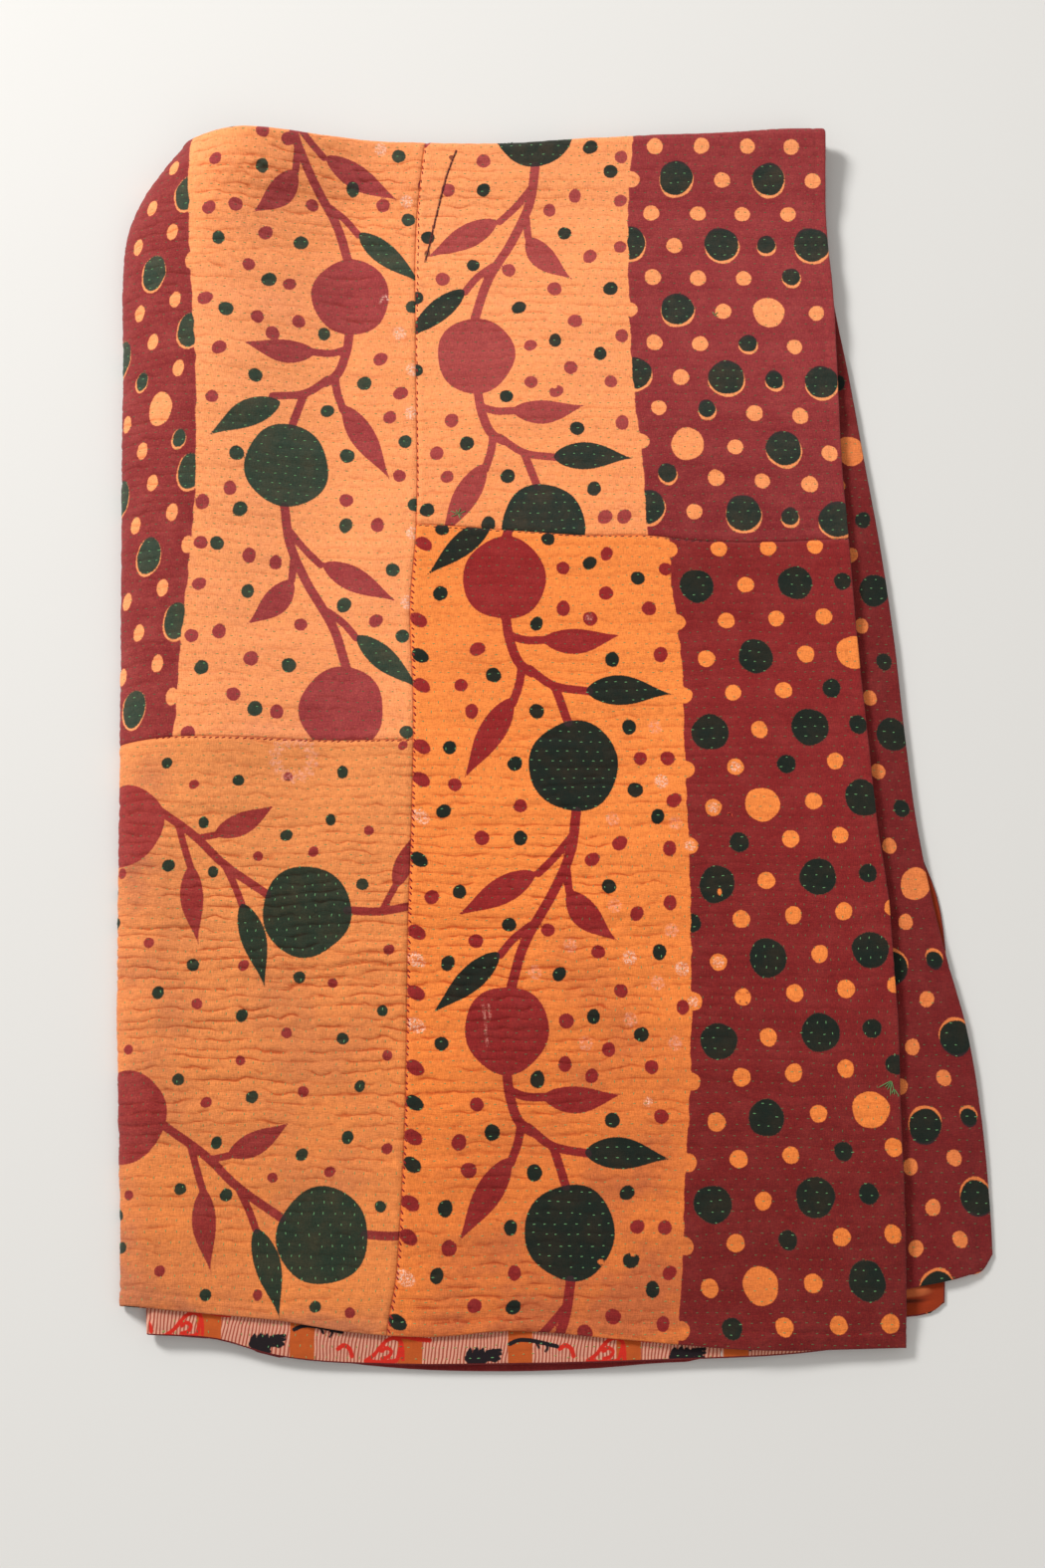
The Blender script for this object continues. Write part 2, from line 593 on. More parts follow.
# Dots that the other print shows through beside the long seam: their y by ink; they lie SEAM_DOT
# from the seam, with these radii and this tilt.
SEAM_DOTS = {
    "maroon": (154, 79, 15, -44, -75, -217, -272, -339, -400, -457, -486),
    "green": (44, -150, -370, -424, -558), "pale": (-110, -242, -301, -521),
}
SEAM_DOT = (8.0, 8.9, 6.2, -35.0)
# Worn and half-printed dots.
PALE = {
    "upper_left": ((-125, 510), (-130, 370), (-117, 332), (-118, 287), (-115, 165), (-119, 96),
                   (-151, 563)),
    "lower_right": ((116, -77), (85, -240), (132, -250)),
}
GHOST = (
    (111, -25), (71, -112), (128, -116), (72, -193), (32, -229), (123, -215), (110, -263), (0, -253),
    (85, -296), (45, -317), (125, -317))
# Smaller marks of wear: holes in prints, scratches in red rounds, flecks, nicks beside the tear
# and specks on a spot. Each is a centre and radii, or the points of a line.
WORN_GREEN = ((166.5, -180, 1.9, 3.2), (57, -507, 3.0, 2.2), (85, -500.5, 2.6, 2.0))
WORN_DOT = (19.5, 315.0, 3.0, 2.2)
WORN_WING_SPOT = (323.5, 47.0, 2.4, 4.0)
SCRATCHES = (((-46, -283), (-44, -300), (-42.5, -319)), ((-41, -283), (-40, -296)))
UPPER_SCRATCH = ((-150, 401), (-144, 411), (-141, 404))
PALE_FLECK = (100, -369, 4.0)
GHOST_FLECK = (51, 81, 4.0, 3.0)
TEAR_NICKS = ((-81, 555, 2.6, 2.2), (-98, 484, 1.9, 2.2), (-104, 455, 2.8, 3.4))
SPECKS = ((-4, 5), (4, 4), (-3, -4), (3, -5))
# Two red rounds of the lower left patch run over the roll: centre and radii.
ROLL_ROUNDS = ((-376, -119, 39, 38), (-365, -382, 41, 41))

# The faint rosette there: centre, radius, half width, and its petals' number and height.
ROSETTE = (-221.0, -56.0, 17.0, 4.5, 14.0, 2.5)

# The mended tear in the upper right patch.
TEAR = ((-76, 562), (-85, 537), (-94, 502), (-104, 454), (-106, 446))

# The spotted borders. Spots: G and g are large and small green ones, O and o orange ones. The x of
# the line where the ground ends by y; the first row's y, the pitch of the rows and of the spots;
# how far from the line even and odd rows start; how much each spot is higher than the one before
# it, by y; the rows of one repeat; and count, the number of rows.
LOWER_BORDER = {
    "line": ((-600, 121), (-520, 127), (-450, 131), (-342, 138), (-67, 138), (65, 134), (108, 129),
             (180, 126)),
    "first": 148.0, "pitch": 35.65, "spacing": 45.5, "starts": (1.0, 24.0), "count": 21,
    "rise": ((-600, 1.0), (-400, 3.6), (-150, 3.3), (150, 1.2)),
    "rows": ("ooooo", "GoGg", "oooog", "oGoO", "ooogo", "GoGg", "oogoo", "oOoG", "ogooo", "GoGg",
             "goooo", "oGoG"),
}
UPPER_BORDER = {
    "line": ((160, 107), (237, 103), (310, 96), (445, 92), (496, 92), (583, 97), (640, 100)),
    "first": 567.0, "pitch": 34.3, "spacing": 45.0, "starts": (23.0, 1.0), "count": 12,
    "rise": ((190, -3.2), (300, -2.8), (400, -1.0), (570, 0.0)),
    "rows": ("oooo", "oGoGo", "oooo", "GoGgG", "ooog", "oGoOo", "oogo", "GoGgG", "ogoo", "oOoGo",
             "gooo", "GoGgG"),
}
PALE_SPOTS = ((6, 1), (7, 0), (8, 0), (11, 0), (12, 0))      # row and place in it, lower border
SPECKED_SPOT = (12, 1)
# The spotted ground of the faces that are not seen: its even rows; odd ones are of small spots.
LATTICE_PITCH = 35.5
LATTICE_SPACING = 44.5
LARGE_ROWS = ("GoGgGo", "oGoOoG", "GoGgGo", "oOoGoO", "GoGgGo", "oGoGoG")
SPOT_RADII = {"G": (16.6, 17.3), "g": (8.6, 9.2), "O": (15.7, 16.2), "o": (7.6, 8.0)}

# The roll's side of the upper left patch: x of the line where the ground starts by y, then each
# row's spots and the x of its nearest one. The print is drawn in round the roll.
ROLL_LINE = ((-36, -331), (75, -326), (200, -320), (300, -323), (450, -335), (572, -343))
ROLL_TOP = 538.0
ROLL_ROW = {"pitch": 36.0, "spacing": 37.0, "slope": 0.25, "middle": -341.0, "narrow": 0.72,
            "tall": 1.04}
ROLL_ROWS = (
    ("oo", -357), ("Go", -340), ("oo", -353), ("oG", -333), ("oo", -347), ("GoG", -331), ("og", -341),
    ("Oo", -357), ("go", -337), ("GoG", -325), ("oo", -341), ("oG", -325), ("oo", -347), ("Go", -332),
    ("oo", -349), ("oG", -334))

# The wing's border runs beside its selvedge: spots from the selvedge inwards, for even rows; the
# odd rows have small orange ones.
WING_TOP = 322.0
WING_ROW = {"pitch": 35.2, "spacing": 39.0, "starts": (11.0, 28.0), "slope": 0.2, "narrow": 0.86,
            "tall": 0.94}
WING_TURN = -239.0        # below this y the prints lie otherwise out of register
WING_ROWS = ("g", "O", "g", "G", "g", "G", "g", "O", "gG", "Go", "gG", "GoG", "oG")


def spot(paper, kind, x, y, shift, rx=None, ry=None, tilt=None, grow=0.8):
    """A spot in the maroon ground: a hole, and for green ones the green over it, out of register."""
    if rx is None:
        rx, ry = SPOT_RADII[kind]
        rx = rx * (1.0 + 0.05 * math.sin(x * 0.7 + y))
        ry = ry * (1.0 + 0.05 * math.sin(y * 0.9 - x))
    tilt = 25.0 * math.sin(0.37 * x + 0.91 * y) if tilt is None else tilt
    if kind in "Oo":
        paper.round("maroon", x, y, rx, ry, tilt, cut=True)
        return
    paper.round("maroon", x + shift[0], y + shift[1], rx + grow, ry + grow, tilt, cut=True)
    paper.round("spots", x, y, rx, ry, tilt)


def keep_spots(paper, outside):
    """Green spots end where the maroon ground does."""
    paper.field("green", np.maximum(paper.layers["spots"], outside))
    paper.layers["spots"][:] = paper.FAR


def border_row(chart, row):
    """Kind and place of each spot in a row of a border."""
    y0 = chart["first"] - chart["pitch"] * row
    x0 = line(chart["line"], y0) + chart["starts"][row % 2]
    rise = line(chart["rise"], y0)
    for step, kind in enumerate(chart["rows"][row % len(chart["rows"])]):
        x = x0 + chart["spacing"] * step + 0.8 * math.sin(3.0 * y0 + 2.0 * step)
        yield kind, float(x), float(y0 + rise * step)


def border(paper, chart, shift, grow, lift=0.0):
    """Maroon ground to the right of a line, with its rows of spots; lift raises the green ones."""
    t = paper.t
    edge = line(chart["line"], t) + 0.9 * noise(t / 9.0, t * 0.0, 51) + 0.4 * noise(t / 3.0, t * 0.0, 52)
    paper.field("maroon", edge - paper.s)
    for row in range(chart["count"]):
        for kind, x, y in border_row(chart, row):
            spot(paper, kind, x, y + (lift if kind in "Gg" else 0.0), shift, grow=grow)
    keep_spots(paper, edge - paper.s)
    paper.field("border", edge - paper.s)


def printed_at(at, mirror=False):
    """Moves a chart's places to x and y, at a size, turned by some degrees."""
    ox, oy, size, turn = at
    across = size * math.cos(math.radians(turn))
    along = size * math.sin(math.radians(turn))
    side = -1.0 if mirror else 1.0

    def moved(x, y):
        return ox + side * x * across - y * along, oy + side * x * along + y * across
    return moved


def vine(paper, chart, at, more_leaves=(), mirror=False):
    """The rounds, leaves and stems of one repeat of a chart."""
    moved = printed_at(at, mirror)
    size = at[2]
    for ink, x, y, rx, ry, tilt in chart["rounds"]:
        paper.round(INKS[ink], *moved(x, y), rx * size, ry * size, tilt)
    for ink, bx, by, tx, ty, half, bow in chart["leaves"] + more_leaves:
        longer = 1.0 + 3.0 / math.hypot(tx - bx, ty - by)
        tip = moved(bx + (tx - bx) * longer, by + (ty - by) * longer)
        paper.frond(INKS[ink], *moved(bx, by), *tip, half * size, -bow if mirror else bow)
    for half, *points in chart["stems"]:
        paper.stem("maroon", half * size, *[moved(x, y) for x, y in points])


def dots(paper, chart, at, mirror=False, radii=(6.6, 6.8), most_x=1000.0):
    """The dots of one repeat of a chart, none further right than most_x."""
    moved = printed_at(at, mirror)
    for ink, radius in zip(("maroon", "green"), radii):
        for place_ in chart[ink]:
            x, y = moved(*place_)
            x = min(x, most_x)
            skew = 1.04 + 0.07 * math.sin(1.3 * x + 0.4 * y)
            lean = 60.0 + 30.0 * math.sin(0.9 * y + x)
            width = radius * (1.0 + 0.06 * math.sin(2.1 * x + y))
            paper.round(ink, x, y, width * skew, width / skew, lean)


def worn_dots(paper, ink, places):
    """Dots that are worn or half printed."""
    for x, y in places:
        paper.round(ink, x, y, 6.1, 6.6, 20.0)


# ---------------------------------------------------------------- meshes
def place(points):
    """Plan millimetres to the frame's metres, never below the surface that the quilt lies on."""
    flat = ((points - PLACE) * METRES).reshape(-1, 3)
    flat[:, 2] = np.maximum(flat[:, 2], 0.0)
    return flat


def make_object(name, points, faces, material, attributes=None):
    """An object from points in plan millimetres and faces of equal size."""
    faces = np.asarray(faces, np.int32)
    mesh = bpy.data.meshes.new(name)
    flat = place(points)
    mesh.vertices.add(len(flat))
    mesh.vertices.foreach_set("co", flat.astype(np.float32).ravel())
    mesh.loops.add(faces.size)
    mesh.loops.foreach_set("vertex_index", faces.ravel())
    mesh.polygons.add(len(faces))
    mesh.polygons.foreach_set("loop_start", np.arange(0, faces.size, faces.shape[1], dtype=np.int32))
    mesh.polygons.foreach_set("use_smooth", np.ones(len(faces), bool))
    mesh.update(calc_edges=True)
    mesh.validate()
    for key, values in (attributes or {}).items():
        layer = mesh.attributes.new(key, "FLOAT", "POINT")
        layer.data.foreach_set("value", np.asarray(values, np.float32).ravel())
    mesh.materials.append(material)
    obj = bpy.data.objects.new(name, mesh)
    bpy.context.scene.collection.objects.link(obj)
    return obj


def grid_faces(rows, columns, flip=False):
    """Four-sided faces of a grid of points."""
    index = np.arange(rows * columns).reshape(rows, columns)
    corners = [index[:-1, :-1], index[1:, :-1], index[1:, 1:], index[:-1, 1:]]
    if flip:
        corners.reverse()
    return np.stack([corner.ravel() for corner in corners], axis=1)


def normals(points):
    """Directions out of the face side of a grid."""
    return unit(np.cross(np.gradient(points, axis=0), np.gradient(points, axis=1)))


class Grid:
    """A grid of the cloth's middle, with the cloth's own coordinates s and t at each point."""

    def __init__(self, u, w):
        self.u = u
        self.w = w
        self.middle = middle(u, w)
        self.normal = normals(self.middle)
        self.s = self.middle[..., 0]
        self.t = self.middle[..., 1]


# Steps of the turned edge, from the face round to the back of the cloth.
EDGE_TURN = np.radians((35.0, 70.0, 105.0, 140.0, 180.0))
EDGE_STEP = 1.1           # cloth from one to the next
TUCK_OUT = 0.5            # how far an edge reaches into a seam and sinks there
TUCK_DOWN = 1.1


def on_side(change, parts, side, *more):
    """Changes a grid at one side: 0 first row, 1 last row, 2 first column, 3 last column."""
    if side > 1:
        swapped = on_side(change, [part.swapaxes(0, 1) for part in parts], side - 2, *more)
        return [part.swapaxes(0, 1) for part in swapped]
    if side == 1:
        return [np.flip(part, 0) for part in change(*(np.flip(part, 0) for part in parts), *more)]
    return change(*parts, *more)


def turned_edge(points, normal, s, t, turned_end=None):
    """Adds the turned edge before a grid's first row; at turned_end, 0 or -1, it meets another one."""
    out = unit(points[0] - points[3])
    ends = len(EDGE_TURN)
    done = np.zeros(len(out))               # how far the other edge at the corner has turned it already
    if turned_end == 0:
        done[:ends] = EDGE_TURN[::-1]
        out[:ends] = out[ends]
    elif turned_end == -1:
        done[-ends:] = EDGE_TURN
        out[-ends:] = out[-ends - 1]
    step_s = (s[0] - s[3]) / 3.0
    step_t = (t[0] - t[3]) / 3.0
    scale = np.maximum(np.hypot(step_s, step_t), 1e-6)
    rows = []
    for index in range(ends, 0, -1):
        angle = EDGE_TURN[index - 1]
        further = np.maximum(done, angle)
        lift = CLOTH / 2.0 * (np.cos(done) - np.cos(further))
        reach = EDGE_BULGE * np.minimum(math.sin(angle), np.sin(further))
        rows.append((points[0] - normal[0] * lift[:, None] + out * reach[:, None], normal[0],
                     s[0] + step_s / scale * EDGE_STEP * index, t[0] + step_t / scale * EDGE_STEP * index))
    return [np.concatenate([np.stack(new), old]) for new, old in zip(zip(*rows), (points, normal, s, t))]


def tucked_edge(points, normal, s, t):
    """Adds a row that sinks into a seam before a grid's first row."""
    row = points[0] + unit(points[0] - points[2]) * TUCK_OUT - normal[0] * TUCK_DOWN
    return [np.concatenate([new[None], old])
            for new, old in ((row, points), (normal[0], normal), (s[0], s), (t[0], t))]


def patch_grid(upper, left):
    """The grid of one of the four patches of the top layer."""
    seam_y, search_from, width = PATCH_SIZE[left]
    length = PATCH_TOP - seam_y if upper else seam_y - PATCH_FOOT
    rows = int(length / FINE) + 1
    columns = int(width / FINE) + 1
    b = np.linspace(0.0, 1.0, rows)
    a = np.linspace(0.0, 1.0, columns)

    def w_of(u, share):
        """w at a share of the way from one edge of the patch to the other."""
        y = np.full(u.shape, search_from)
        for _ in range(3):
            x, _ = doubling(True, u, y)
            y = line(CROSS_SEAM[left], x)
        seam = w_at(u, y)
        return seam + (1.0 - seam) * share if upper else seam * share

    seam_u = np.full(rows, 0.6)
    for _ in range(4):
        w = w_of(seam_u, b)
        near = hem(True, seam_u)
        y_rows = near + (turn_line(seam_u) - near) * np.clip(w, 0.0, 1.0)
        seam_u = u_at(line(LONG_SEAM, y_rows), y_rows)
    start = seam_u if left else np.zeros(rows)
    stop = np.full(rows, ROLL_END) if left else seam_u

    u = np.empty((rows, columns))
    s = np.empty((rows, columns))
    for r in range(rows):
        fine = np.linspace(start[r], stop[r], ROW_SAMPLES)
        xs, zs = doubling(True, fine, np.full(fine.shape, y_rows[r]))
        run = lengths(xs, zs)
        u[r] = np.interp(a * run[-1], run, fine)
        s[r] = xs[0] - a * run[-1] if left else xs[-1] + (1.0 - a) * run[-1]
    share = np.broadcast_to(b[:, None], u.shape)
    w = w_of(u.ravel(), share.ravel()).reshape(u.shape)
    if upper:
        over = np.linspace(0.0, 1.0, FOLD_ROWS + 1)[1:, None] * (FOLD_END - 1.0)
        u = np.concatenate([u, np.repeat(u[-1:], FOLD_ROWS, axis=0)])
        s = np.concatenate([s, np.repeat(s[-1:], FOLD_ROWS, axis=0)])
        w = np.concatenate([w, 1.0 + np.repeat(over, columns, axis=1)])
    grid = Grid(u, w)
    grid.s = s
    grid.t = grid.t.copy()
    step = np.linalg.norm(np.diff(grid.middle, axis=0), axis=-1)
    for r in range(1, len(w)):
        grid.t[r] = np.where(w[r] > 1.0, grid.t[r - 1] + step[r - 1], grid.t[r])
    return grid


def face_relief(grid, left, upper):
    """Pucker, seam troughs and hem crease of a patch, in millimetres out of the cloth."""
    s = grid.s
    t = grid.t
    rise = relief(s, t)
    on_roll = smooth((ROLL_END - grid.u) / 0.3) * smooth((FOLD_END - grid.w) / 0.3)
    to_long = np.abs(s - line(LONG_SEAM, t))
    to_cross = np.abs(t - line(CROSS_SEAM[left], grid.middle[..., 0]))
    trough = np.zeros(s.shape)
    for distance in (to_long, to_cross):
        trough = trough - 0.9 * bell(distance / 1.7)
        trough = trough + 0.35 * bell((distance - 5.5) / 3.0)
    if not upper:
        near = t - hem(True, grid.u.ravel()).reshape(s.shape)
        crease_at = 12.5 + 1.5 * noise(s / 60.0, s * 0.0, 61)
        trough = trough - 0.85 * bell((near - crease_at) / 1.6)
        trough = trough + 0.35 * smooth((crease_at - near) / 3.0)
    if not left:
        edge = column(EDGES, "top", t) - s
        trough = trough - 0.5 * bell((edge - 9.0) / 1.6)
    return (rise + trough) * on_roll


# ---------------------------------------------------------------- materials
def rgb(red, green, blue):
    """A display colour, 0 to 255, as the shader takes it."""
    linear = []
    for value in (red, green, blue):
        value = value / 255.0
        linear.append(value / 12.92 if value <= 0.04045 else ((value + 0.055) / 1.055) ** 2.4)
    return (*linear, 1.0)


class Recipe:
    """A material and short ways to add nodes to it."""

    def __init__(self, name):
        self.material = bpy.data.materials.new(name)
        self.material.use_nodes = True
        self.tree = self.material.node_tree
        self.shader = self.tree.nodes["Principled BSDF"]

    def put(self, value, socket):
        if isinstance(value, bpy.types.NodeSocket):
            self.tree.links.new(value, socket)
        else:
            socket.default_value = value

    def node(self, kind, *values, **settings):
        """A node with its settings and the values of its first inputs."""
        node = self.tree.nodes.new("ShaderNode" + kind)
        for key, value in settings.items():
            setattr(node, key, value)
        for value, socket in zip(values, node.inputs):
            self.put(value, socket)
        return node

    def attribute(self, name):
        return self.node("Attribute", attribute_name=name).outputs["Fac"]

    def math(self, operation, a, b=0.0):
        return self.node("Math", a, b, operation=operation).outputs[0]

    def times(self, a, b):
        return self.math("MULTIPLY", a, b)

    def plus(self, a, b):
        return self.math("ADD", a, b)

    def mix(self, factor, a, b, blend="MIX"):
        node = self.node("Mix", factor, data_type="RGBA", blend_type=blend)
        self.put(a, node.inputs[6])
        self.put(b, node.inputs[7])
        return node.outputs[2]

    def noise(self, vector, scale, detail=2.0, roughness=0.5):
        node = self.node("TexNoise", vector)
        node.inputs["Scale"].default_value = scale
        node.inputs["Detail"].default_value = detail
        node.inputs["Roughness"].default_value = roughness
        return node.outputs["Fac"]

    def ramp(self, value, low, high, to_low=0.0, to_high=1.0):
        return self.node("MapRange", value, low, high, to_low, to_high,
                         interpolation_type="SMOOTHSTEP").outputs[0]

    def finish(self, colour, roughness=0.93, sheen=0.12):
        self.put(colour, self.shader.inputs["Base Color"])
        self.shader.inputs["Roughness"].default_value = roughness
        self.shader.inputs["Specular IOR Level"].default_value = 0.12
        self.shader.inputs["Sheen Weight"].default_value = sheen
        self.shader.inputs["Sheen Roughness"].default_value = 0.6
        return self.material


class Cloth(Recipe):
    """Woven cloth: nodes for the place on it, and for its slubby warp and weft, around 0.5."""

    def __init__(self, name):
        super().__init__(name)
        self.s = self.attribute("s")
        self.t = self.attribute("t")
        self.place = self.node("CombineXYZ", self.s, self.t).outputs[0]
        warp, weft = (self.noise(self.node("CombineXYZ", self.times(self.s, across),
                                           self.times(self.t, along)).outputs[0], 1.0)
                      for across, along in ((1.15, 0.16), (0.16, 1.15)))
        grain = self.noise(self.place, 0.75, 3.0, 0.75)
        self.weave = self.times(self.plus(self.plus(warp, weft), grain), 1.0 / 3.0)

    def cloud(self, reach, low, high, detail, roughness, to_low=0.0, to_high=1.0):
        """Where soft patches about reach millimetres wide lie."""
        return self.ramp(self.noise(self.place, 1.0 / reach, detail, roughness), low, high, to_low, to_high)

    def stray(self, scale, size, roughness=0.5):
        """How far a print's edge strays."""
        return self.times(self.math("SUBTRACT", self.noise(self.place, scale, 2.0, roughness), 0.5), size)

    def printed(self, layer, stray, soft):
        """Where a layer is printed."""
        return self.ramp(self.plus(self.attribute(layer), stray), soft, -soft)

    def woven(self, colour, contrast, least, strength):
        """Finishes with the threads' light and shade and their relief."""
        light = self.plus(self.times(self.weave, contrast), least)
        lit = self.mix(1.0, colour, self.node("CombineXYZ", light, light, light).outputs[0], "MULTIPLY")
        bump = self.node("Bump")
        bump.inputs["Strength"].default_value = strength
        bump.inputs["Distance"].default_value = THREAD_RELIEF
        self.put(self.weave, bump.inputs["Height"])
        self.put(bump.outputs["Normal"], self.shader.inputs["Normal"])
        return self.finish(lit)


def printed_cloth(name, pairs, green, stain, stain_amount, wear):
    """Orange ground printed in maroon and green, worn and puckered; the pairs change over the cloth."""
    r = Cloth(name)
    green = rgb(*green)
    stain = rgb(*stain)
    ground = rgb(*pairs[0][0])
    tone = r.attribute("tone")
    base, maroon, border_maroon = (r.mix(tone, rgb(*first), rgb(*second)) for first, second in pairs)
    cloud = r.cloud(60.0, 0.36, 0.68, 4.0, 0.6)
    soiled = r.times(r.attribute("stain"), r.plus(r.times(cloud, 0.9), 0.45))
    base = r.mix(r.plus(r.times(cloud, 0.4 * stain_amount), soiled), base, stain)
    fleck = r.cloud(7.0, 0.40, 0.75, 3.0, 0.7)
    base = r.mix(r.times(fleck, 0.16 + 0.2 * stain_amount), base, stain)
    ragged = r.stray(1.0 / 1.7, 1.5, 0.6)
    faded = r.cloud(26.0, 0.35, 0.75, 4.0, 0.65)
    rubbed = r.times(r.cloud(1.5, 0.50, 0.80, 2.0, 0.6), wear)

    red = r.mix(r.ramp(r.attribute("border"), 3.0, -3.0), maroon, border_maroon)
    red = r.mix(r.times(faded, 1.4 * wear), red, rgb(186, 88, 80))
    red = r.mix(rubbed, red, ground)
    red_at = r.printed("maroon", ragged, 0.55)
    colour = r.mix(red_at, base, red)

    dark_green = r.mix(r.times(faded, 0.4), green, r.mix(0.5 * wear, green, ground))
    dark_green = r.mix(rubbed, dark_green, r.mix(1.6 * wear, green, ground))
    dark_green = r.mix(r.times(red_at, 0.5), dark_green, rgb(64, 34, 42))
    colour = r.mix(r.printed("green", ragged, 0.55), colour, dark_green)

    crumbled = r.times(ragged, 2.5)
    chalk = r.times(r.cloud(2.3, 0.46, 0.60, 2.0, 0.75, 0.06, 0.78), r.printed("pale", crumbled, 0.8))
    colour = r.mix(chalk, colour, rgb(252, 206, 184))
    ghost = r.times(r.cloud(3.1, 0.44, 0.62, 3.0, 0.7, 0.05, 0.5), r.printed("ghost", crumbled, 0.8))
    colour = r.mix(ghost, colour, rgb(246, 176, 156))
    colour = r.mix(r.ramp(r.attribute("dark"), 0.6, -0.5, 0.0, 0.85), colour, rgb(104, 36, 30))

    fold = r.attribute("fold")
    drawn = r.attribute("crease")
    thin = r.times(r.ramp(r.math("ABSOLUTE", fold), 1.5, 0.1), drawn)
    wide = r.times(r.ramp(r.math("ABSOLUTE", r.plus(fold, 0.6)), 3.2, 0.0), drawn)
    shade = r.plus(r.times(thin, 0.50), r.times(wide, 0.42))
    shade = r.plus(shade, r.ramp(r.attribute("seam"), 1.9, 0.2, 0.0, 0.55))
    colour = r.mix(shade, colour, r.mix(1.0, colour, rgb(216, 172, 148), "MULTIPLY"))
    return r.woven(colour, 2.3, -0.15, 0.8)


def pinstriped_cloth(name):
    """The second layer's back: pink pinstripes, orange bands, red scrolls and black flames."""
    r = Cloth(name)
    lean = r.plus(r.plus(r.s, r.stray(0.03, 7.0)), r.times(r.t, -0.12))
    stripe = r.math("ABSOLUTE", r.math("SUBTRACT", r.math("FRACT", r.math("DIVIDE", lean, 3.05)), 0.5))
    colour = r.mix(r.ramp(stripe, 0.18, 0.38), rgb(232, 168, 142), rgb(166, 72, 52))
    faded = r.noise(r.place, 0.06, 3.0)
    colour = r.mix(r.times(faded, 0.30), colour, rgb(192, 112, 90))
    colour = r.mix(r.printed("pale", r.stray(0.8, 0.8), 0.4), colour,
                   r.mix(faded, rgb(204, 96, 36), rgb(180, 74, 24)))
    ragged = r.stray(0.9, 1.2)
    colour = r.mix(r.printed("maroon", ragged, 0.5), colour, rgb(212, 42, 26))
    colour = r.mix(r.printed("green", ragged, 0.5), colour, rgb(28, 18, 22))
    return r.woven(colour, 0.55, 0.70, 0.5)


def plain_cloth(name, colour_a, colour_b):
    """Plain cloth, with paler and darker places."""
    r = Cloth(name)
    colour = r.mix(r.noise(r.place, 0.04, 4.0), colour_a, colour_b)
    colour = r.mix(r.ramp(r.attribute("pale"), 1.2, -1.2), colour, rgb(186, 92, 48))
    colour = r.mix(r.ramp(r.attribute("dark"), 1.0, -1.0, 0.0, 0.8), colour, rgb(56, 20, 10))
    return r.woven(colour, 0.55, 0.70, 0.5)


def yarn(name, colour):
    """Thread of one colour."""
    return Recipe(name).finish(rgb(*colour), *YARN_GLOSS)


def quilting_thread():
    """Fine green thread: the ink under it shows through."""
    r = Recipe("sage_thread")
    colour = r.mix(r.attribute("maroon"), rgb(146, 146, 84), rgb(96, 94, 58))
    return r.finish(r.mix(r.attribute("green"), colour, rgb(100, 152, 98)), *YARN_GLOSS)


THREAD_RELIEF = 0.0007
YARN_GLOSS = (0.75, 0.2)      # roughness and sheen
GREEN_DEEP = (18, 30, 22)
# Each print's pairs of ground, maroon and border maroon, its green, its stain, how stained and how
# worn it is.
LOOKS = {
    "upper_left": ((((255, 160, 98), (250, 151, 88)), ((152, 52, 54), (158, 56, 58)),
                    ((136, 38, 40), (130, 34, 36))), (46, 62, 48), (240, 148, 110), 0.30, 0.16),
    "upper_right": ((((255, 160, 98), (252, 152, 88)), ((168, 68, 66), (160, 58, 56)),
                     ((148, 46, 50), (128, 30, 36))), (32, 44, 36), (242, 150, 112), 0.28, 0.14),
    "lower_left": ((((240, 148, 84), (234, 132, 62)), ((152, 44, 42), (132, 34, 32)),
                    ((132, 34, 32), (132, 34, 32))), (34, 48, 34), (190, 110, 70), 0.28, 0.14),
    "lower_right": ((((255, 144, 66), (236, 126, 52)), ((148, 28, 30), (130, 26, 26)),
                     ((136, 28, 30), (106, 18, 18))), GREEN_DEEP, (196, 102, 56), 0.20, 0.08),
    "wing": ((((232, 128, 66), (224, 116, 56)), ((118, 24, 26), (104, 20, 20)),
              ((114, 22, 24), (114, 22, 24))), GREEN_DEEP, (214, 116, 74), 0.30, 0.08),
}
FACE = {name: printed_cloth("print_" + name, *look) for name, look in LOOKS.items()}
PINSTRIPE = pinstriped_cloth("pinstripe")
PLAIN_ORANGE = plain_cloth("plain_orange", rgb(156, 52, 12), rgb(134, 42, 10))
THREAD = quilting_thread()
YARN = {name: yarn(name + "_thread", colour) for name, colour in (
    ("red", (140, 16, 12)), ("dark", (70, 14, 18)), ("green", (96, 140, 84)), ("pale", (236, 226, 214)),
    ("dull", (52, 62, 50)), ("orange", (216, 74, 40)))}


# Soiled and darkened places on the face: x, y, reach along x and y, amount.
STAINS = (
    (-362, -140, 30, 90, 0.9), (-340, -330, 50, 110, 0.45), (-372, -480, 30, 90, 0.8),
    (-340, -560, 70, 30, 0.9), (-225, -300, 35, 70, 0.45), (-200, -440, 60, 50, 0.4),
    (-165, -330, 25, 60, 0.3), (-250, -575, 120, 14, 0.7), (-275, -562, 110, 14, 0.8),
    (-180, -570, 60, 14, 0.8), (-300, -520, 70, 60, 0.25), (30, -300, 60, 90, 0.35),
    (90, -420, 60, 110, 0.7), (-30, -480, 70, 80, 0.5), (60, -535, 100, 35, 0.8), (20, -560, 120, 22, 0.9),
    (-60, 60, 50, 60, 0.12), (-260, 400, 60, 60, 0.12), (-230, -30, 60, 12, 0.3),
)


# ---------------------------------------------------------------- cloth pieces
def dress(obj):
    """The piece rides on the quilt's body and stands for its plain solid."""
    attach(obj, "root")
    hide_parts("quilt")


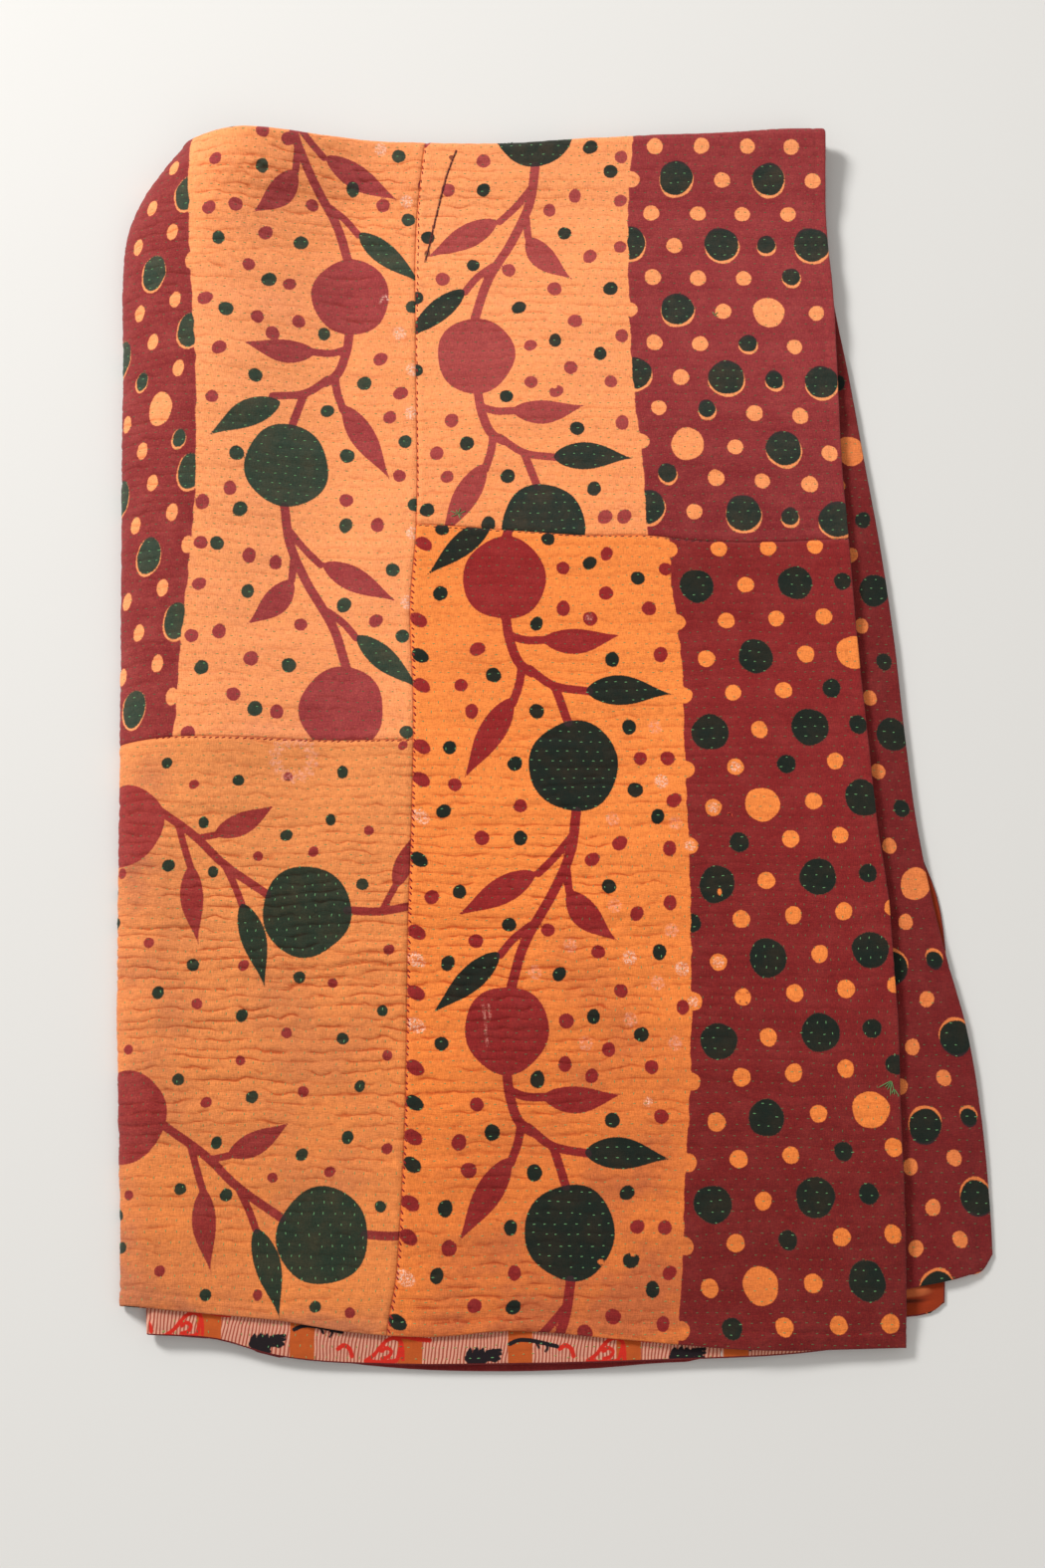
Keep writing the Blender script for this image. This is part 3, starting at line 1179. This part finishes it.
def cloth_object(name, parts, material, chart, back=False, tone=0.0, seam=9.0):
    """A sheet from (points, normal, s, t), with its print and its creases as attributes."""
    points, _, s, t = parts
    paper = Print(s, t)
    if chart:
        chart(paper)
    away, depth = crinkle(s, t)
    for crease, deep, _ in CREASES:
        at = stroke(s, t, crease, 0.0)
        nearer = at < np.abs(away) - 0.3
        depth = np.where(nearer, deep, depth)
        away = np.where(nearer, at, away)
    blank = np.zeros(s.shape)
    values = {"s": s, "t": t, "fold": away, "crease": np.clip(depth, 0.0, 1.3), "seam": blank + seam,
              "tone": blank + tone, "stain": blotches(blank, s, t, STAINS)}
    values.update((layer, paper.get(layer)) for layer in PRINT_LAYERS[:-1])
    obj = make_object(name, points, grid_faces(*s.shape, back), material, values)
    dress(obj)
    wide = np.linalg.norm(np.diff(points, axis=1), axis=-1).sum(axis=1).mean() * METRES
    long = np.linalg.norm(np.diff(points, axis=0), axis=-1).sum(axis=0).mean() * METRES


class Surface:
    """A piece's raised face, on which threads are laid."""

    def __init__(self, points, normal, s, t):
        self.points = points
        self.normal = normal
        self.s = s
        self.t = t
        rows, columns = s.shape
        self.rows = rows
        self.columns = columns
        self.step_s = (s[:, -1] - s[:, 0]).mean() / (columns - 1)
        self.step_t = (t[-1] - t[0]).mean() / (rows - 1)

    def read(self, array, i, j):
        i0 = np.clip(np.floor(i).astype(int), 0, self.rows - 2)
        j0 = np.clip(np.floor(j).astype(int), 0, self.columns - 2)
        a = np.clip(i - i0, 0.0, 1.0)
        b = np.clip(j - j0, 0.0, 1.0)
        if array.ndim == 3:
            a = a[..., None]
            b = b[..., None]
        low = array[i0, j0] * (1 - b) + array[i0, j0 + 1] * b
        high = array[i0 + 1, j0] * (1 - b) + array[i0 + 1, j0 + 1] * b
        return low * (1 - a) + high * a

    def locate(self, s, t):
        """Row and column of places on the cloth."""
        i = np.full(s.shape, self.rows / 2.0)
        j = np.full(s.shape, self.columns / 2.0)
        for _ in range(9):
            i = np.clip(i + (t - self.read(self.t, i, j)) / self.step_t, 0, self.rows - 1)
            j = np.clip(j + (s - self.read(self.s, i, j)) / self.step_s, 0, self.columns - 1)
        error = np.abs(self.read(self.s, i, j) - s) + np.abs(self.read(self.t, i, j) - t)
        inside = (error < 0.6) & (i > 0.1) & (i < self.rows - 1.1) & (j > 0.1) & (j < self.columns - 1.1)
        return i, j, inside

    def at(self, s, t, lift):
        """Points on the cloth, lifted off it."""
        i, j, _ = self.locate(s, t)
        lift = np.broadcast_to(lift, s.shape)
        return self.read(self.points, i, j) + unit(self.read(self.normal, i, j)) * lift[..., None]


# A stitch as it shows: two sunk ends and three arches of three points.
STITCH_ALONG = (-0.5, -0.33, -0.33, -0.33, 0.0, 0.0, 0.0, 0.33, 0.33, 0.33, 0.5)
STITCH_ACROSS = (0.0, -0.42, 0.0, 0.42, -0.5, 0.0, 0.5, -0.42, 0.0, 0.42, 0.0)
STITCH_LIFT = (-0.2, 0.1, 0.85, 0.1, 0.1, 1.0, 0.1, 0.1, 0.85, 0.1, -0.2)
STITCH_FACES = ((0, 1, 2), (0, 2, 3), (1, 4, 5), (1, 5, 2), (2, 5, 6), (2, 6, 3), (4, 7, 8), (4, 8, 5),
                (5, 8, 9), (5, 9, 6), (7, 10, 8), (8, 10, 9))


def lay_stitches(name, surface, s, t, angle, length, width, rise, material, slot, under=None):
    """Joined stitches at places on a surface; under says what ink shows through each."""
    inside = surface.locate(s, t)[2]
    s, t, angle, length = (value[inside] for value in (s, t, angle, length))
    along = np.array(STITCH_ALONG)[None] * length[:, None]
    across = np.array(STITCH_ACROSS)[None] * width
    c = np.cos(angle)[:, None]
    d = np.sin(angle)[:, None]
    points = surface.at(s[:, None] + along * c - across * d, t[:, None] + along * d + across * c,
                        np.array(STITCH_LIFT)[None] * rise)
    faces = np.array(STITCH_FACES)[None] + (np.arange(len(s)) * len(STITCH_ALONG))[:, None, None]
    shades = {key: np.repeat(values[inside], len(STITCH_ALONG)) for key, values in (under or {}).items()}
    dress(make_object(name, points, faces.reshape(-1, 3), material, shades))


# Where the running stitches run up and down instead of across: x and y limits.
UPRIGHT = ((-400, -118, -600, -235), (-100, -5, -85, 10), (22, 138, -362, -110),
           (262, 330, -398, -128), (150, 265, -300, -180), (-260, -160, -245, -150))


def running_stitches(name, surface, chart):
    """The quilting that covers the face."""
    low_t = surface.t.min()
    high_t = surface.t.max()
    rows = np.arange(int(low_t / ROW_PITCH) - 2, int(high_t / ROW_PITCH) + 3)
    marks = np.arange(int(surface.s.min() / STITCH_PITCH) - 2, int(surface.s.max() / STITCH_PITCH) + 3)
    k, m = np.meshgrid(rows, marks, indexing="ij")
    k = k.ravel()
    m = m.ravel()
    s = stitch_grid(k, m)
    t = k * ROW_PITCH
    for _ in range(4):
        t = k * ROW_PITCH - row_wobble(s, t)
    kept = hashed(k, m, 33) > MISSED
    k, m, s, t = (v[kept] for v in (k, m, s, t))
    t = t + 0.5 * (hashed(k, m, 34) - 0.5)
    angle = 0.25 * (hashed(k, m, 35) - 0.5)
    for low_x, high_x, low_y, high_y in UPRIGHT:
        inside = (s > low_x) & (s < high_x) & (t > low_y) & (t < high_y)
        angle = np.where(inside, math.pi / 2 + 0.5 * (hashed(k, m, 36) - 0.5), angle)
    length = STITCH_LENGTH * (0.75 + 0.5 * hashed(k, m, 37))
    paper = Print(s, t)
    chart(paper)
    under = {ink: (paper.get(ink) < 0.0).astype(float) for ink in ("maroon", "green")}
    lay_stitches(name, surface, s, t, angle, length, STITCH_WIDTH, STITCH_RISE, THREAD, "thread", under)


def stitches_along(name, surface, points, pitch, length, slant, aside, colour, seed, width, rise):
    """A row of stitches along a line of the cloth."""
    xs, ys = np.array(points, float).T
    run = lengths(xs, ys)
    index = np.arange(int(run[-1] / pitch))
    chance = [hashed(index, index * 0 + way, seed) for way in range(4)]
    at = (index + 0.5) * pitch + (chance[0] - 0.5) * pitch * 0.35
    heading = np.arctan2(np.interp(at + 1, run, ys) - np.interp(at - 1, run, ys),
                         np.interp(at + 1, run, xs) - np.interp(at - 1, run, xs))
    off = aside + 0.5 * (chance[1] - 0.5)
    s = np.interp(at, run, xs) + np.sin(heading) * off
    t = np.interp(at, run, ys) - np.cos(heading) * off
    angle = heading + slant + 0.35 * (chance[2] - 0.5)
    sizes = length * (0.7 + 0.5 * chance[3])
    lay_stitches(name, surface, s, t, angle, sizes, width, rise, YARN[colour], "seam_thread")


# ---------------------------------------------------------------- the top layer's four patches
def print_upper_left(paper):
    edge = line(ROLL_LINE, paper.t) + 0.9 * noise(paper.t / 9.0, paper.t * 0.0, 53)
    paper.field("maroon", paper.s - edge)
    for row, (kinds, near) in enumerate(ROLL_ROWS):
        for step, kind in enumerate(kinds):
            x = near - ROLL_ROW["spacing"] * step
            y = ROLL_TOP - ROLL_ROW["pitch"] * row + ROLL_ROW["slope"] * (x - ROLL_ROW["middle"])
            rx, ry = SPOT_RADII[kind]
            spot(paper, kind, x, y, (-0.5, -1.3), rx * ROLL_ROW["narrow"], ry * ROLL_ROW["tall"], -8.0)
    keep_spots(paper, paper.s - edge)
    paper.field("border", paper.s - edge)
    for at in VINES["upper_left"]:
        vine(paper, VINE, at, (DROOPING_LEAF,), mirror=True)
    for at in VINES["mirrored_dots"]:
        dots(paper, MIRRORED_DOTS, at, mirror=True)
    worn_dots(paper, "pale", PALE["upper_left"])
    paper.stem("pale", 1.0, *UPPER_SCRATCH)


def print_upper_right(paper):
    border(paper, UPPER_BORDER, (0.4, -2.5), 0.4, lift=2.0)
    for at in VINES["upper_right"]:
        vine(paper, VINE, at, (LEVEL_LEAF,))
        dots(paper, VINE, at, most_x=85.0)
    paper.round("maroon", *WORN_DOT, cut=True)
    paper.stem("dark", 1.15, *TEAR)
    for nick in TEAR_NICKS:
        paper.round("dark", *nick)


def print_lower_right(paper):
    border(paper, LOWER_BORDER, (0.0, 0.0), -0.5)
    for row, step in PALE_SPOTS:
        _, x, y = list(border_row(LOWER_BORDER, row))[step]
        paper.round("pale", x, y, 4.8)
    _, x, y = list(border_row(LOWER_BORDER, SPECKED_SPOT[0]))[SPECKED_SPOT[1]]
    for dx, dy in SPECKS:
        paper.round("dark", x + dx, y + dy, 1.2)
    for at in VINES["lower_right"]:
        vine(paper, VINE, at, (LEVEL_LEAF,))
        dots(paper, VINE, at)
    aside, rx, ry, tilt = SEAM_DOT
    for ink, places in SEAM_DOTS.items():
        for y in places:
            paper.round(ink, float(line(LONG_SEAM, y)) + aside, y, rx, ry, tilt)
    worn_dots(paper, "pale", PALE["lower_right"])
    paper.round("pale", *PALE_FLECK)
    worn_dots(paper, "ghost", GHOST)
    for hole in WORN_GREEN:
        paper.round("green", *hole, cut=True)
    for scratch in SCRATCHES:
        paper.stem("ghost", 1.1, *scratch)
    paper.round("ghost", *GHOST_FLECK)


def print_lower_left(paper):
    for at in VINES["lower_left"]:
        vine(paper, SIDE_VINE, at)
        dots(paper, SIDE_VINE, at, radii=(4.7, 5.4))
    for red_round in ROLL_ROUNDS:
        paper.round("maroon", *red_round)
    x, y, radius, half, petals, petal = ROSETTE
    rays = np.cos(petals * np.arctan2(paper.t - y, paper.s - x))
    paper.field("ghost", np.abs(disc(paper.s, paper.t, x, y, radius, radius, 0)) - half + petal * rays)


# The ground deepens towards the hems: from this y and over this length, by whether a patch is an upper
# one. The upper left one stays as it is.
DEEPENING = {True: (360.0, 180.0), False: (-80.0, 420.0)}


def top_patch(name, upper, left, chart, material):
    """One patch of the top layer; returns the face that its stitches lie on."""
    grid = patch_grid(upper, left)
    points = grid.middle + grid.normal * (CLOTH / 2.0 + face_relief(grid, left, upper))[..., None]
    parts = (points, grid.normal, grid.s, grid.t)
    surface = Surface(*parts)
    if upper:
        parts = on_side(tucked_edge, parts, 0)
    else:
        parts = on_side(turned_edge, parts, 0)
        parts = on_side(tucked_edge, parts, 1)
    if left:
        parts = on_side(tucked_edge, parts, 2)
    else:
        parts = on_side(turned_edge, parts, 2, None if upper else 0)
        parts = on_side(tucked_edge, parts, 3)
    s, t = parts[2:]
    tone = 0.5 + 0.5 * noise(s / 140.0, t / 170.0, 71)
    if not (upper and left):
        start, run = DEEPENING[upper]
        tone = 0.35 * tone + 0.65 * smooth((start - t) / run)
    seam = np.minimum(np.abs(s - line(LONG_SEAM, t)), np.abs(t - line(CROSS_SEAM[left], s)))
    cloth_object(name, parts, material, chart, tone=tone, seam=seam)
    return surface


# The patches: whether each is an upper and a left one, and its print.
PATCHES = {"upper_left": (True, True, print_upper_left), "upper_right": (True, False, print_upper_right),
           "lower_left": (False, True, print_lower_left), "lower_right": (False, False, print_lower_right)}
surfaces = {patch: top_patch("top_" + patch, *facts, FACE[patch]) for patch, facts in PATCHES.items()}


# ---------------------------------------------------------------- the other layers
def spread(u_from, u_to, w_from, w_to, columns, rows):
    """Even (u, w) over part of the cloth."""
    u = np.linspace(u_from, u_to, columns)
    w = np.linspace(w_from, w_to, rows)
    return np.broadcast_to(u, (rows, columns)).copy(), np.broadcast_to(w[:, None], (rows, columns)).copy()


def all_maroon(paper):
    for layer in ("maroon", "border"):
        paper.field(layer, np.full(paper.s.shape, -paper.FAR))


def lattice(paper):
    """Maroon ground with its rows of spots."""
    all_maroon(paper)
    for index, y in enumerate(np.arange(-560.0, 600.0, LATTICE_PITCH)):
        for step in range(-12, 10):
            x = LATTICE_SPACING * (step + 0.5 * (index % 2))
            kind = "go" if index % 2 else LARGE_ROWS[index // 2 % 6]
            spot(paper, kind[step % len(kind)], x, y, (0.0, 1.5))
    keep_spots(paper, np.full(paper.s.shape, -paper.FAR))


def wing_print(paper):
    all_maroon(paper)
    for row in range(2 * len(WING_ROWS) - 1):
        y0 = WING_TOP - WING_ROW["pitch"] * row
        x0 = float(column(EDGES, "third", y0)) - WING_ROW["starts"][row % 2]
        low = y0 < WING_TURN
        for step, kind in enumerate("ooo" if row % 2 else WING_ROWS[row // 2]):
            rx, ry = SPOT_RADII[kind]
            down = WING_ROW["spacing"] * WING_ROW["slope"] * step
            spot(paper, kind, x0 - WING_ROW["spacing"] * step, y0 - down,
                 (0.0, 2.4 if low else 0.0), rx * WING_ROW["narrow"], ry * WING_ROW["tall"],
                 grow=0.4 if low else -0.5)
    paper.round("green", *WORN_WING_SPOT, cut=True)
    keep_spots(paper, np.full(paper.s.shape, -paper.FAR))


def side_piece(name, where, material, chart=None, raised=None, turned=(), back=False, with_relief=0.0):
    """Another stretch of cloth: its face, or with back its reverse; returns its raised face."""
    grid = Grid(*where)
    rise = np.full(grid.s.shape, CLOTH / 2.0)
    if with_relief:
        rise = rise + with_relief * relief(grid.s, grid.t)
    if raised:
        rise = rise + raised(grid)
    out = -grid.normal if back else grid.normal
    parts = (grid.middle + out * rise[..., None], out, grid.s, grid.t)
    surface = Surface(*parts)
    turned_end = None
    for edge in turned:
        parts = on_side(turned_edge, parts, edge, turned_end)
        turned_end = 0 if edge == 0 else -1
    cloth_object(name, parts, material, chart, back)
    return surface


WING_CREASE = ((332.0, -255.0), (352.0, -251.0), (372.0, -250.0))
RIDGE_X = 322.0           # the ruck in the corner that shows below the wing
RIDGE_Y = -531.0
UNDER_RIDGE_Y = -540.0


def wing_rise(grid):
    """The wing's edge crease and the crossing crease at its widest."""
    edge = column(EDGES, "third", grid.t) - grid.s
    crossing = stroke(grid.s, grid.t, WING_CREASE, 0.0)
    return (-0.6 * bell((edge - 10.0) / 2.0) - 1.2 * bell(crossing / 2.2)
            + 0.4 * noise(grid.s / 26.0, grid.t / 40.0, 81) * smooth(edge / 20.0))


def bottom_rise(grid):
    """The corner that shows below the wing is rucked: a ridge, and a crease under it."""
    reach = smooth((345.0 - grid.s) / 5.0) * smooth((grid.s - 290.0) / 20.0)
    ridge = 2.0 * bell((grid.t - RIDGE_Y) / 4.2) - 1.6 * bell((grid.t - UNDER_RIDGE_Y) / 2.2)
    return 0.25 * relief(grid.s, grid.t) + reach * ridge


def rucked(paper):
    """The ridge's paler cloth, and the crease's shade."""
    paper.round("pale", RIDGE_X, RIDGE_Y - 1.0, 21.0, 5.0, 2.0)
    paper.round("dark", RIDGE_X, UNDER_RIDGE_Y, 16.0, 1.6, 2.0)


def strip_print(paper):
    """Bands, scrolls and flames of the pinstriped back by the hem."""
    for x in BANDS:
        paper.field("pale", np.abs(paper.s - x) - BAND_HALF)
    for ox, oy in SCROLL_FEET:
        for half, *points in SCROLL:
            paper.stem("maroon", half, *[(x + ox, y + oy) for x, y in points])
    for ox, oy in FLAME_FEET:
        for half, *points in FLAME:
            paper.stem("green", half, *[(x + ox, y + oy) for x, y in points])
        for x0, x1, y1 in SPIKES:
            paper.frond("green", x0 + ox, oy - 1.5, x1 + ox, y1 + oy + 2.0, 2.9, 0.0)


# The pinstripe's red scroll and black flame, charted by hand from the foot of each: half width and
# points; a flame's spikes are x of the foot, then the tip. They follow each other along the hem.
SCROLL = (
    (1.7, (0, 0), (7, 5), (13, 12), (18, 17), (25, 19), (30, 16), (29, 8), (27, 1)),
    (1.6, (14, 2), (20, 4), (22, 8), (18, 11), (14, 8)), (1.9, (0, 0), (13, -1), (26, 0)),
    (1.9, (25, 20), (35, 20), (45, 18), (55, 17)), (1.5, (31, 14), (32, 7), (32, 1)),
    (1.9, (-24, 10), (-19, 13), (-14, 10), (-12, 4)),
)
FLAME = (
    (3.1, (0, 0), (7, 0), (14, -1)), (2.6, (2, -4), (8, -5), (14, -6)), (3.4, (22, 5), (23, 0)),
    (1.5, (18, 6), (28, 7)), (1.5, (18, 2), (28, 4)), (1.5, (18, -1), (27, 0)),
    (1.8, (36, 12), (43, 15), (53, 15), (64, 13), (77, 10)),
    (1.2, (66, 13), (69, 9), (67, 6)), (1.2, (59, 14), (61, 9)),
)
SPIKES = ((0, 3, 9), (5, 9, 10), (10, 14, 9), (15, 18, 7))
BANDS = (-372.0, -281.5, -201.0, -108.0, -13.0, 80.5, 173.0, 270.0)
BAND_HALF = 10.6
SCROLL_FEET = ((-319, -569), (-146, -590), (45, -590))
FLAME_FEET = ((-244, -576), (-58, -588), (118, -587))

HEM_STRIP = 2.955          # the second layer's back is made finely from here to its hem
WING_FROM = 3.785
BOTTOM_FROM = 3.7
BACK_FOLD = 1.5            # the outer and inner backs meet here
surfaces["wing"] = side_piece("third_layer_wing", spread(WING_FROM, 4.0, FOLD_END, 3.0, 60, 460),
                              FACE["wing"], wing_print, wing_rise, turned=(1, 3), with_relief=0.55)
side_piece("inner_face", spread(0.0, WING_FROM, FOLD_END, 3.0, 150, 110), FACE["wing"], all_maroon,
           turned=(1, 2))
under_u, under_w = spread(ROLL_END, 4.0, 0.0, FOLD_END, 100, 180)
under_w = FOLD_END * (1.0 - (1.0 - under_w / FOLD_END) ** 1.6)      # finer where it turns up at the fold
side_piece("under_face", (under_u, under_w), FACE["wing"], lattice, turned=(0, 3))
side_piece("outer_back", spread(0.0, BOTTOM_FROM, 0.0, BACK_FOLD, 110, 90), PLAIN_ORANGE, back=True)
bottom_u, bottom_w = spread(BOTTOM_FROM, 4.0, 0.0, BACK_FOLD, 60, 330)
bottom_w = BACK_FOLD * (bottom_w / BACK_FOLD) ** 1.5                # finer by the hem
side_piece("bottom_back", (bottom_u, bottom_w), PLAIN_ORANGE, rucked, bottom_rise, back=True)
side_piece("inner_back", spread(0.0, 4.0, BACK_FOLD, HEM_STRIP, 120, 90), PINSTRIPE, back=True)
side_piece("third_hem_back", spread(1.5, 4.0, HEM_STRIP, 3.0, 130, 22), PINSTRIPE, back=True)
surfaces["strip"] = side_piece("second_hem_back", spread(0.0, 1.5, HEM_STRIP, 3.0, 520, 50), PINSTRIPE,
                               strip_print, back=True, with_relief=0.5)


# ---------------------------------------------------------------- stitching
for patch, facts in PATCHES.items():
    running_stitches("quilting_top_" + patch, surfaces[patch], facts[2])
running_stitches("quilting_wing", surfaces["wing"], wing_print)
running_stitches("quilting_strip", surfaces["strip"], strip_print)

long_seam = [(x, y) for y, x in LONG_SEAM]
# Rows of sewing: patch, line, pitch, length, slant, distance to the side, colour, seed, width, rise.
SEWING = {
    "seam_long_lower": ("lower_right", [p for p in long_seam if p[1] < 168], 6.3, 4.8, 0.7, 1.3, "red", 91,
                        1.5, 0.9),
    "seam_long_upper": ("upper_right", [p for p in long_seam if p[1] > 172], 7.6, 4.4, 0.2, 1.0, "red", 92,
                        1.2, 0.7),
    "seam_left": ("lower_left", ((-381, -41), (-360, -38)) + LEFT_SEAM[2:], 6.2, 4.4, 0.35, 1.2, "red", 93,
                  1.3, 0.8),
    "seam_right": ("lower_right", RIGHT_SEAM, 6.6, 4.2, 0.15, 1.2, "dark", 94, 1.1, 0.6),
    "tear_mend": ("upper_right", TEAR, 3.1, 4.0, 0.12, 0.0, "dark", 95, 1.3, 0.7),
}
for name, (patch, *facts) in SEWING.items():
    stitches_along(name, surfaces[patch], *facts)


TUFT_RISE = 0.9
# Tufts of loose thread ends: patch, colour, width, then x, y, heading, fan, strands and length of each.
TUFTS = {
    "seam": ("upper_right", "green", 0.9, (-72, 184, 1.2, 4.6, 7, 8.0), (175, 389, 0.8, 2.4, 3, 5.0)),
    "edge": ("lower_right", "green", 0.9, (316, -350, -2.0, 1.3, 5, 13.0), (318, -357, -1.5, 1.0, 3, 8.0)),
    "top": ("upper_right", "dull", 1.2, (-24, 568, 1.9, 1.8, 4, 6.0)),
    "orange": ("lower_right", "orange", 0.7, (175, -107, 0.3, 0.3, 1, 5.0), (179, -107, -1.1, 0.2, 1, 5.0)),
    "hem": ("strip", "pale", 0.9, (160, -581, -1.5, 0.1, 1, 7.0)),
}
for tuft_name, (patch, colour, width, *tufts) in TUFTS.items():
    ends = []
    for x, y, heading, fan, strands, reach in tufts:
        for strand in range(strands):
            turn = heading + fan * (strand / max(strands - 1, 1) - 0.5)
            size = reach * (0.85 + 0.25 * math.sin(2.0 * strand + x))
            ends.append((x + 0.5 * size * math.cos(turn), y + 0.5 * size * math.sin(turn), turn, size))
    lay_stitches("thread_ends_" + tuft_name, surfaces[patch], *np.array(ends).T, width, TUFT_RISE,
                 YARN[colour], "seam_thread")


# ---------------------------------------------------------------- floor, light and camera
def floor():
    """A wide floor at the surface that the quilt lies on."""
    corners = np.array([(-1, -1, 0), (1, -1, 0), (1, 1, 0), (-1, 1, 0)]) * FLOOR_REACH
    paint = Recipe("floor")
    paint.finish(rgb(226, 224, 220), 0.9, 0.0)
    obj = make_object("floor", corners + PLACE, [(0, 1, 2, 3)], paint.material)
    obj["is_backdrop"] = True


def area_light(name, at, size, watts):
    """A soft square light, aimed at the quilt's middle."""
    data = bpy.data.lights.new(name, "AREA")
    data.shape = "SQUARE"
    data.size = size
    data.energy = watts
    obj = bpy.data.objects.new(name, data)
    obj.location = at
    obj.rotation_euler = (-Vector(at)).to_track_quat("-Z", "Y").to_euler()
    bpy.context.scene.collection.objects.link(obj)


FLOOR_REACH = 9000.0
# Place, size and watts of each light, and the room's own light.
LIGHTS = {"key": ((-3.3, 3.0, 3.1), 1.3, 275.0), "fill": ((1.6, -2.0, 2.8), 2.4, 14.0)}
ROOM_COLOUR = (1.0, 0.99, 0.97, 1.0)
ROOM_LIGHT = 0.45
CAMERA_TARGET = Vector((-0.0105, -0.0718, 0.0))
CAMERA_LEAN = math.radians(14.3)
CAMERA_DISTANCE = 2.01
floor()
for light_name, light_facts in LIGHTS.items():
    area_light(light_name, *light_facts)
world = bpy.data.worlds.new("room")
world.use_nodes = True
world.node_tree.nodes["Background"].inputs["Color"].default_value = ROOM_COLOUR
world.node_tree.nodes["Background"].inputs["Strength"].default_value = ROOM_LIGHT
bpy.context.scene.world = world
bpy.context.scene.view_settings.view_transform = "Standard"

lens = bpy.data.cameras.new("camera")
lens.lens = 50.0
lens.sensor_fit = "AUTO"
lens.sensor_width = 36.0
lens.clip_start = 0.05
lens.clip_end = 60.0
camera = bpy.data.objects.new("camera", lens)
offset = Vector((0.0, -math.sin(CAMERA_LEAN), math.cos(CAMERA_LEAN)))
camera.location = CAMERA_TARGET + offset * CAMERA_DISTANCE
camera.rotation_euler = (CAMERA_LEAN, 0.0, 0.0)
bpy.context.scene.collection.objects.link(camera)
bpy.context.scene.camera = camera

boxes = {"cad": cad_box, "visual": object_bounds()}
{key: [[float(v) for v in corner] for corner in pair] for key, pair in boxes.items()}
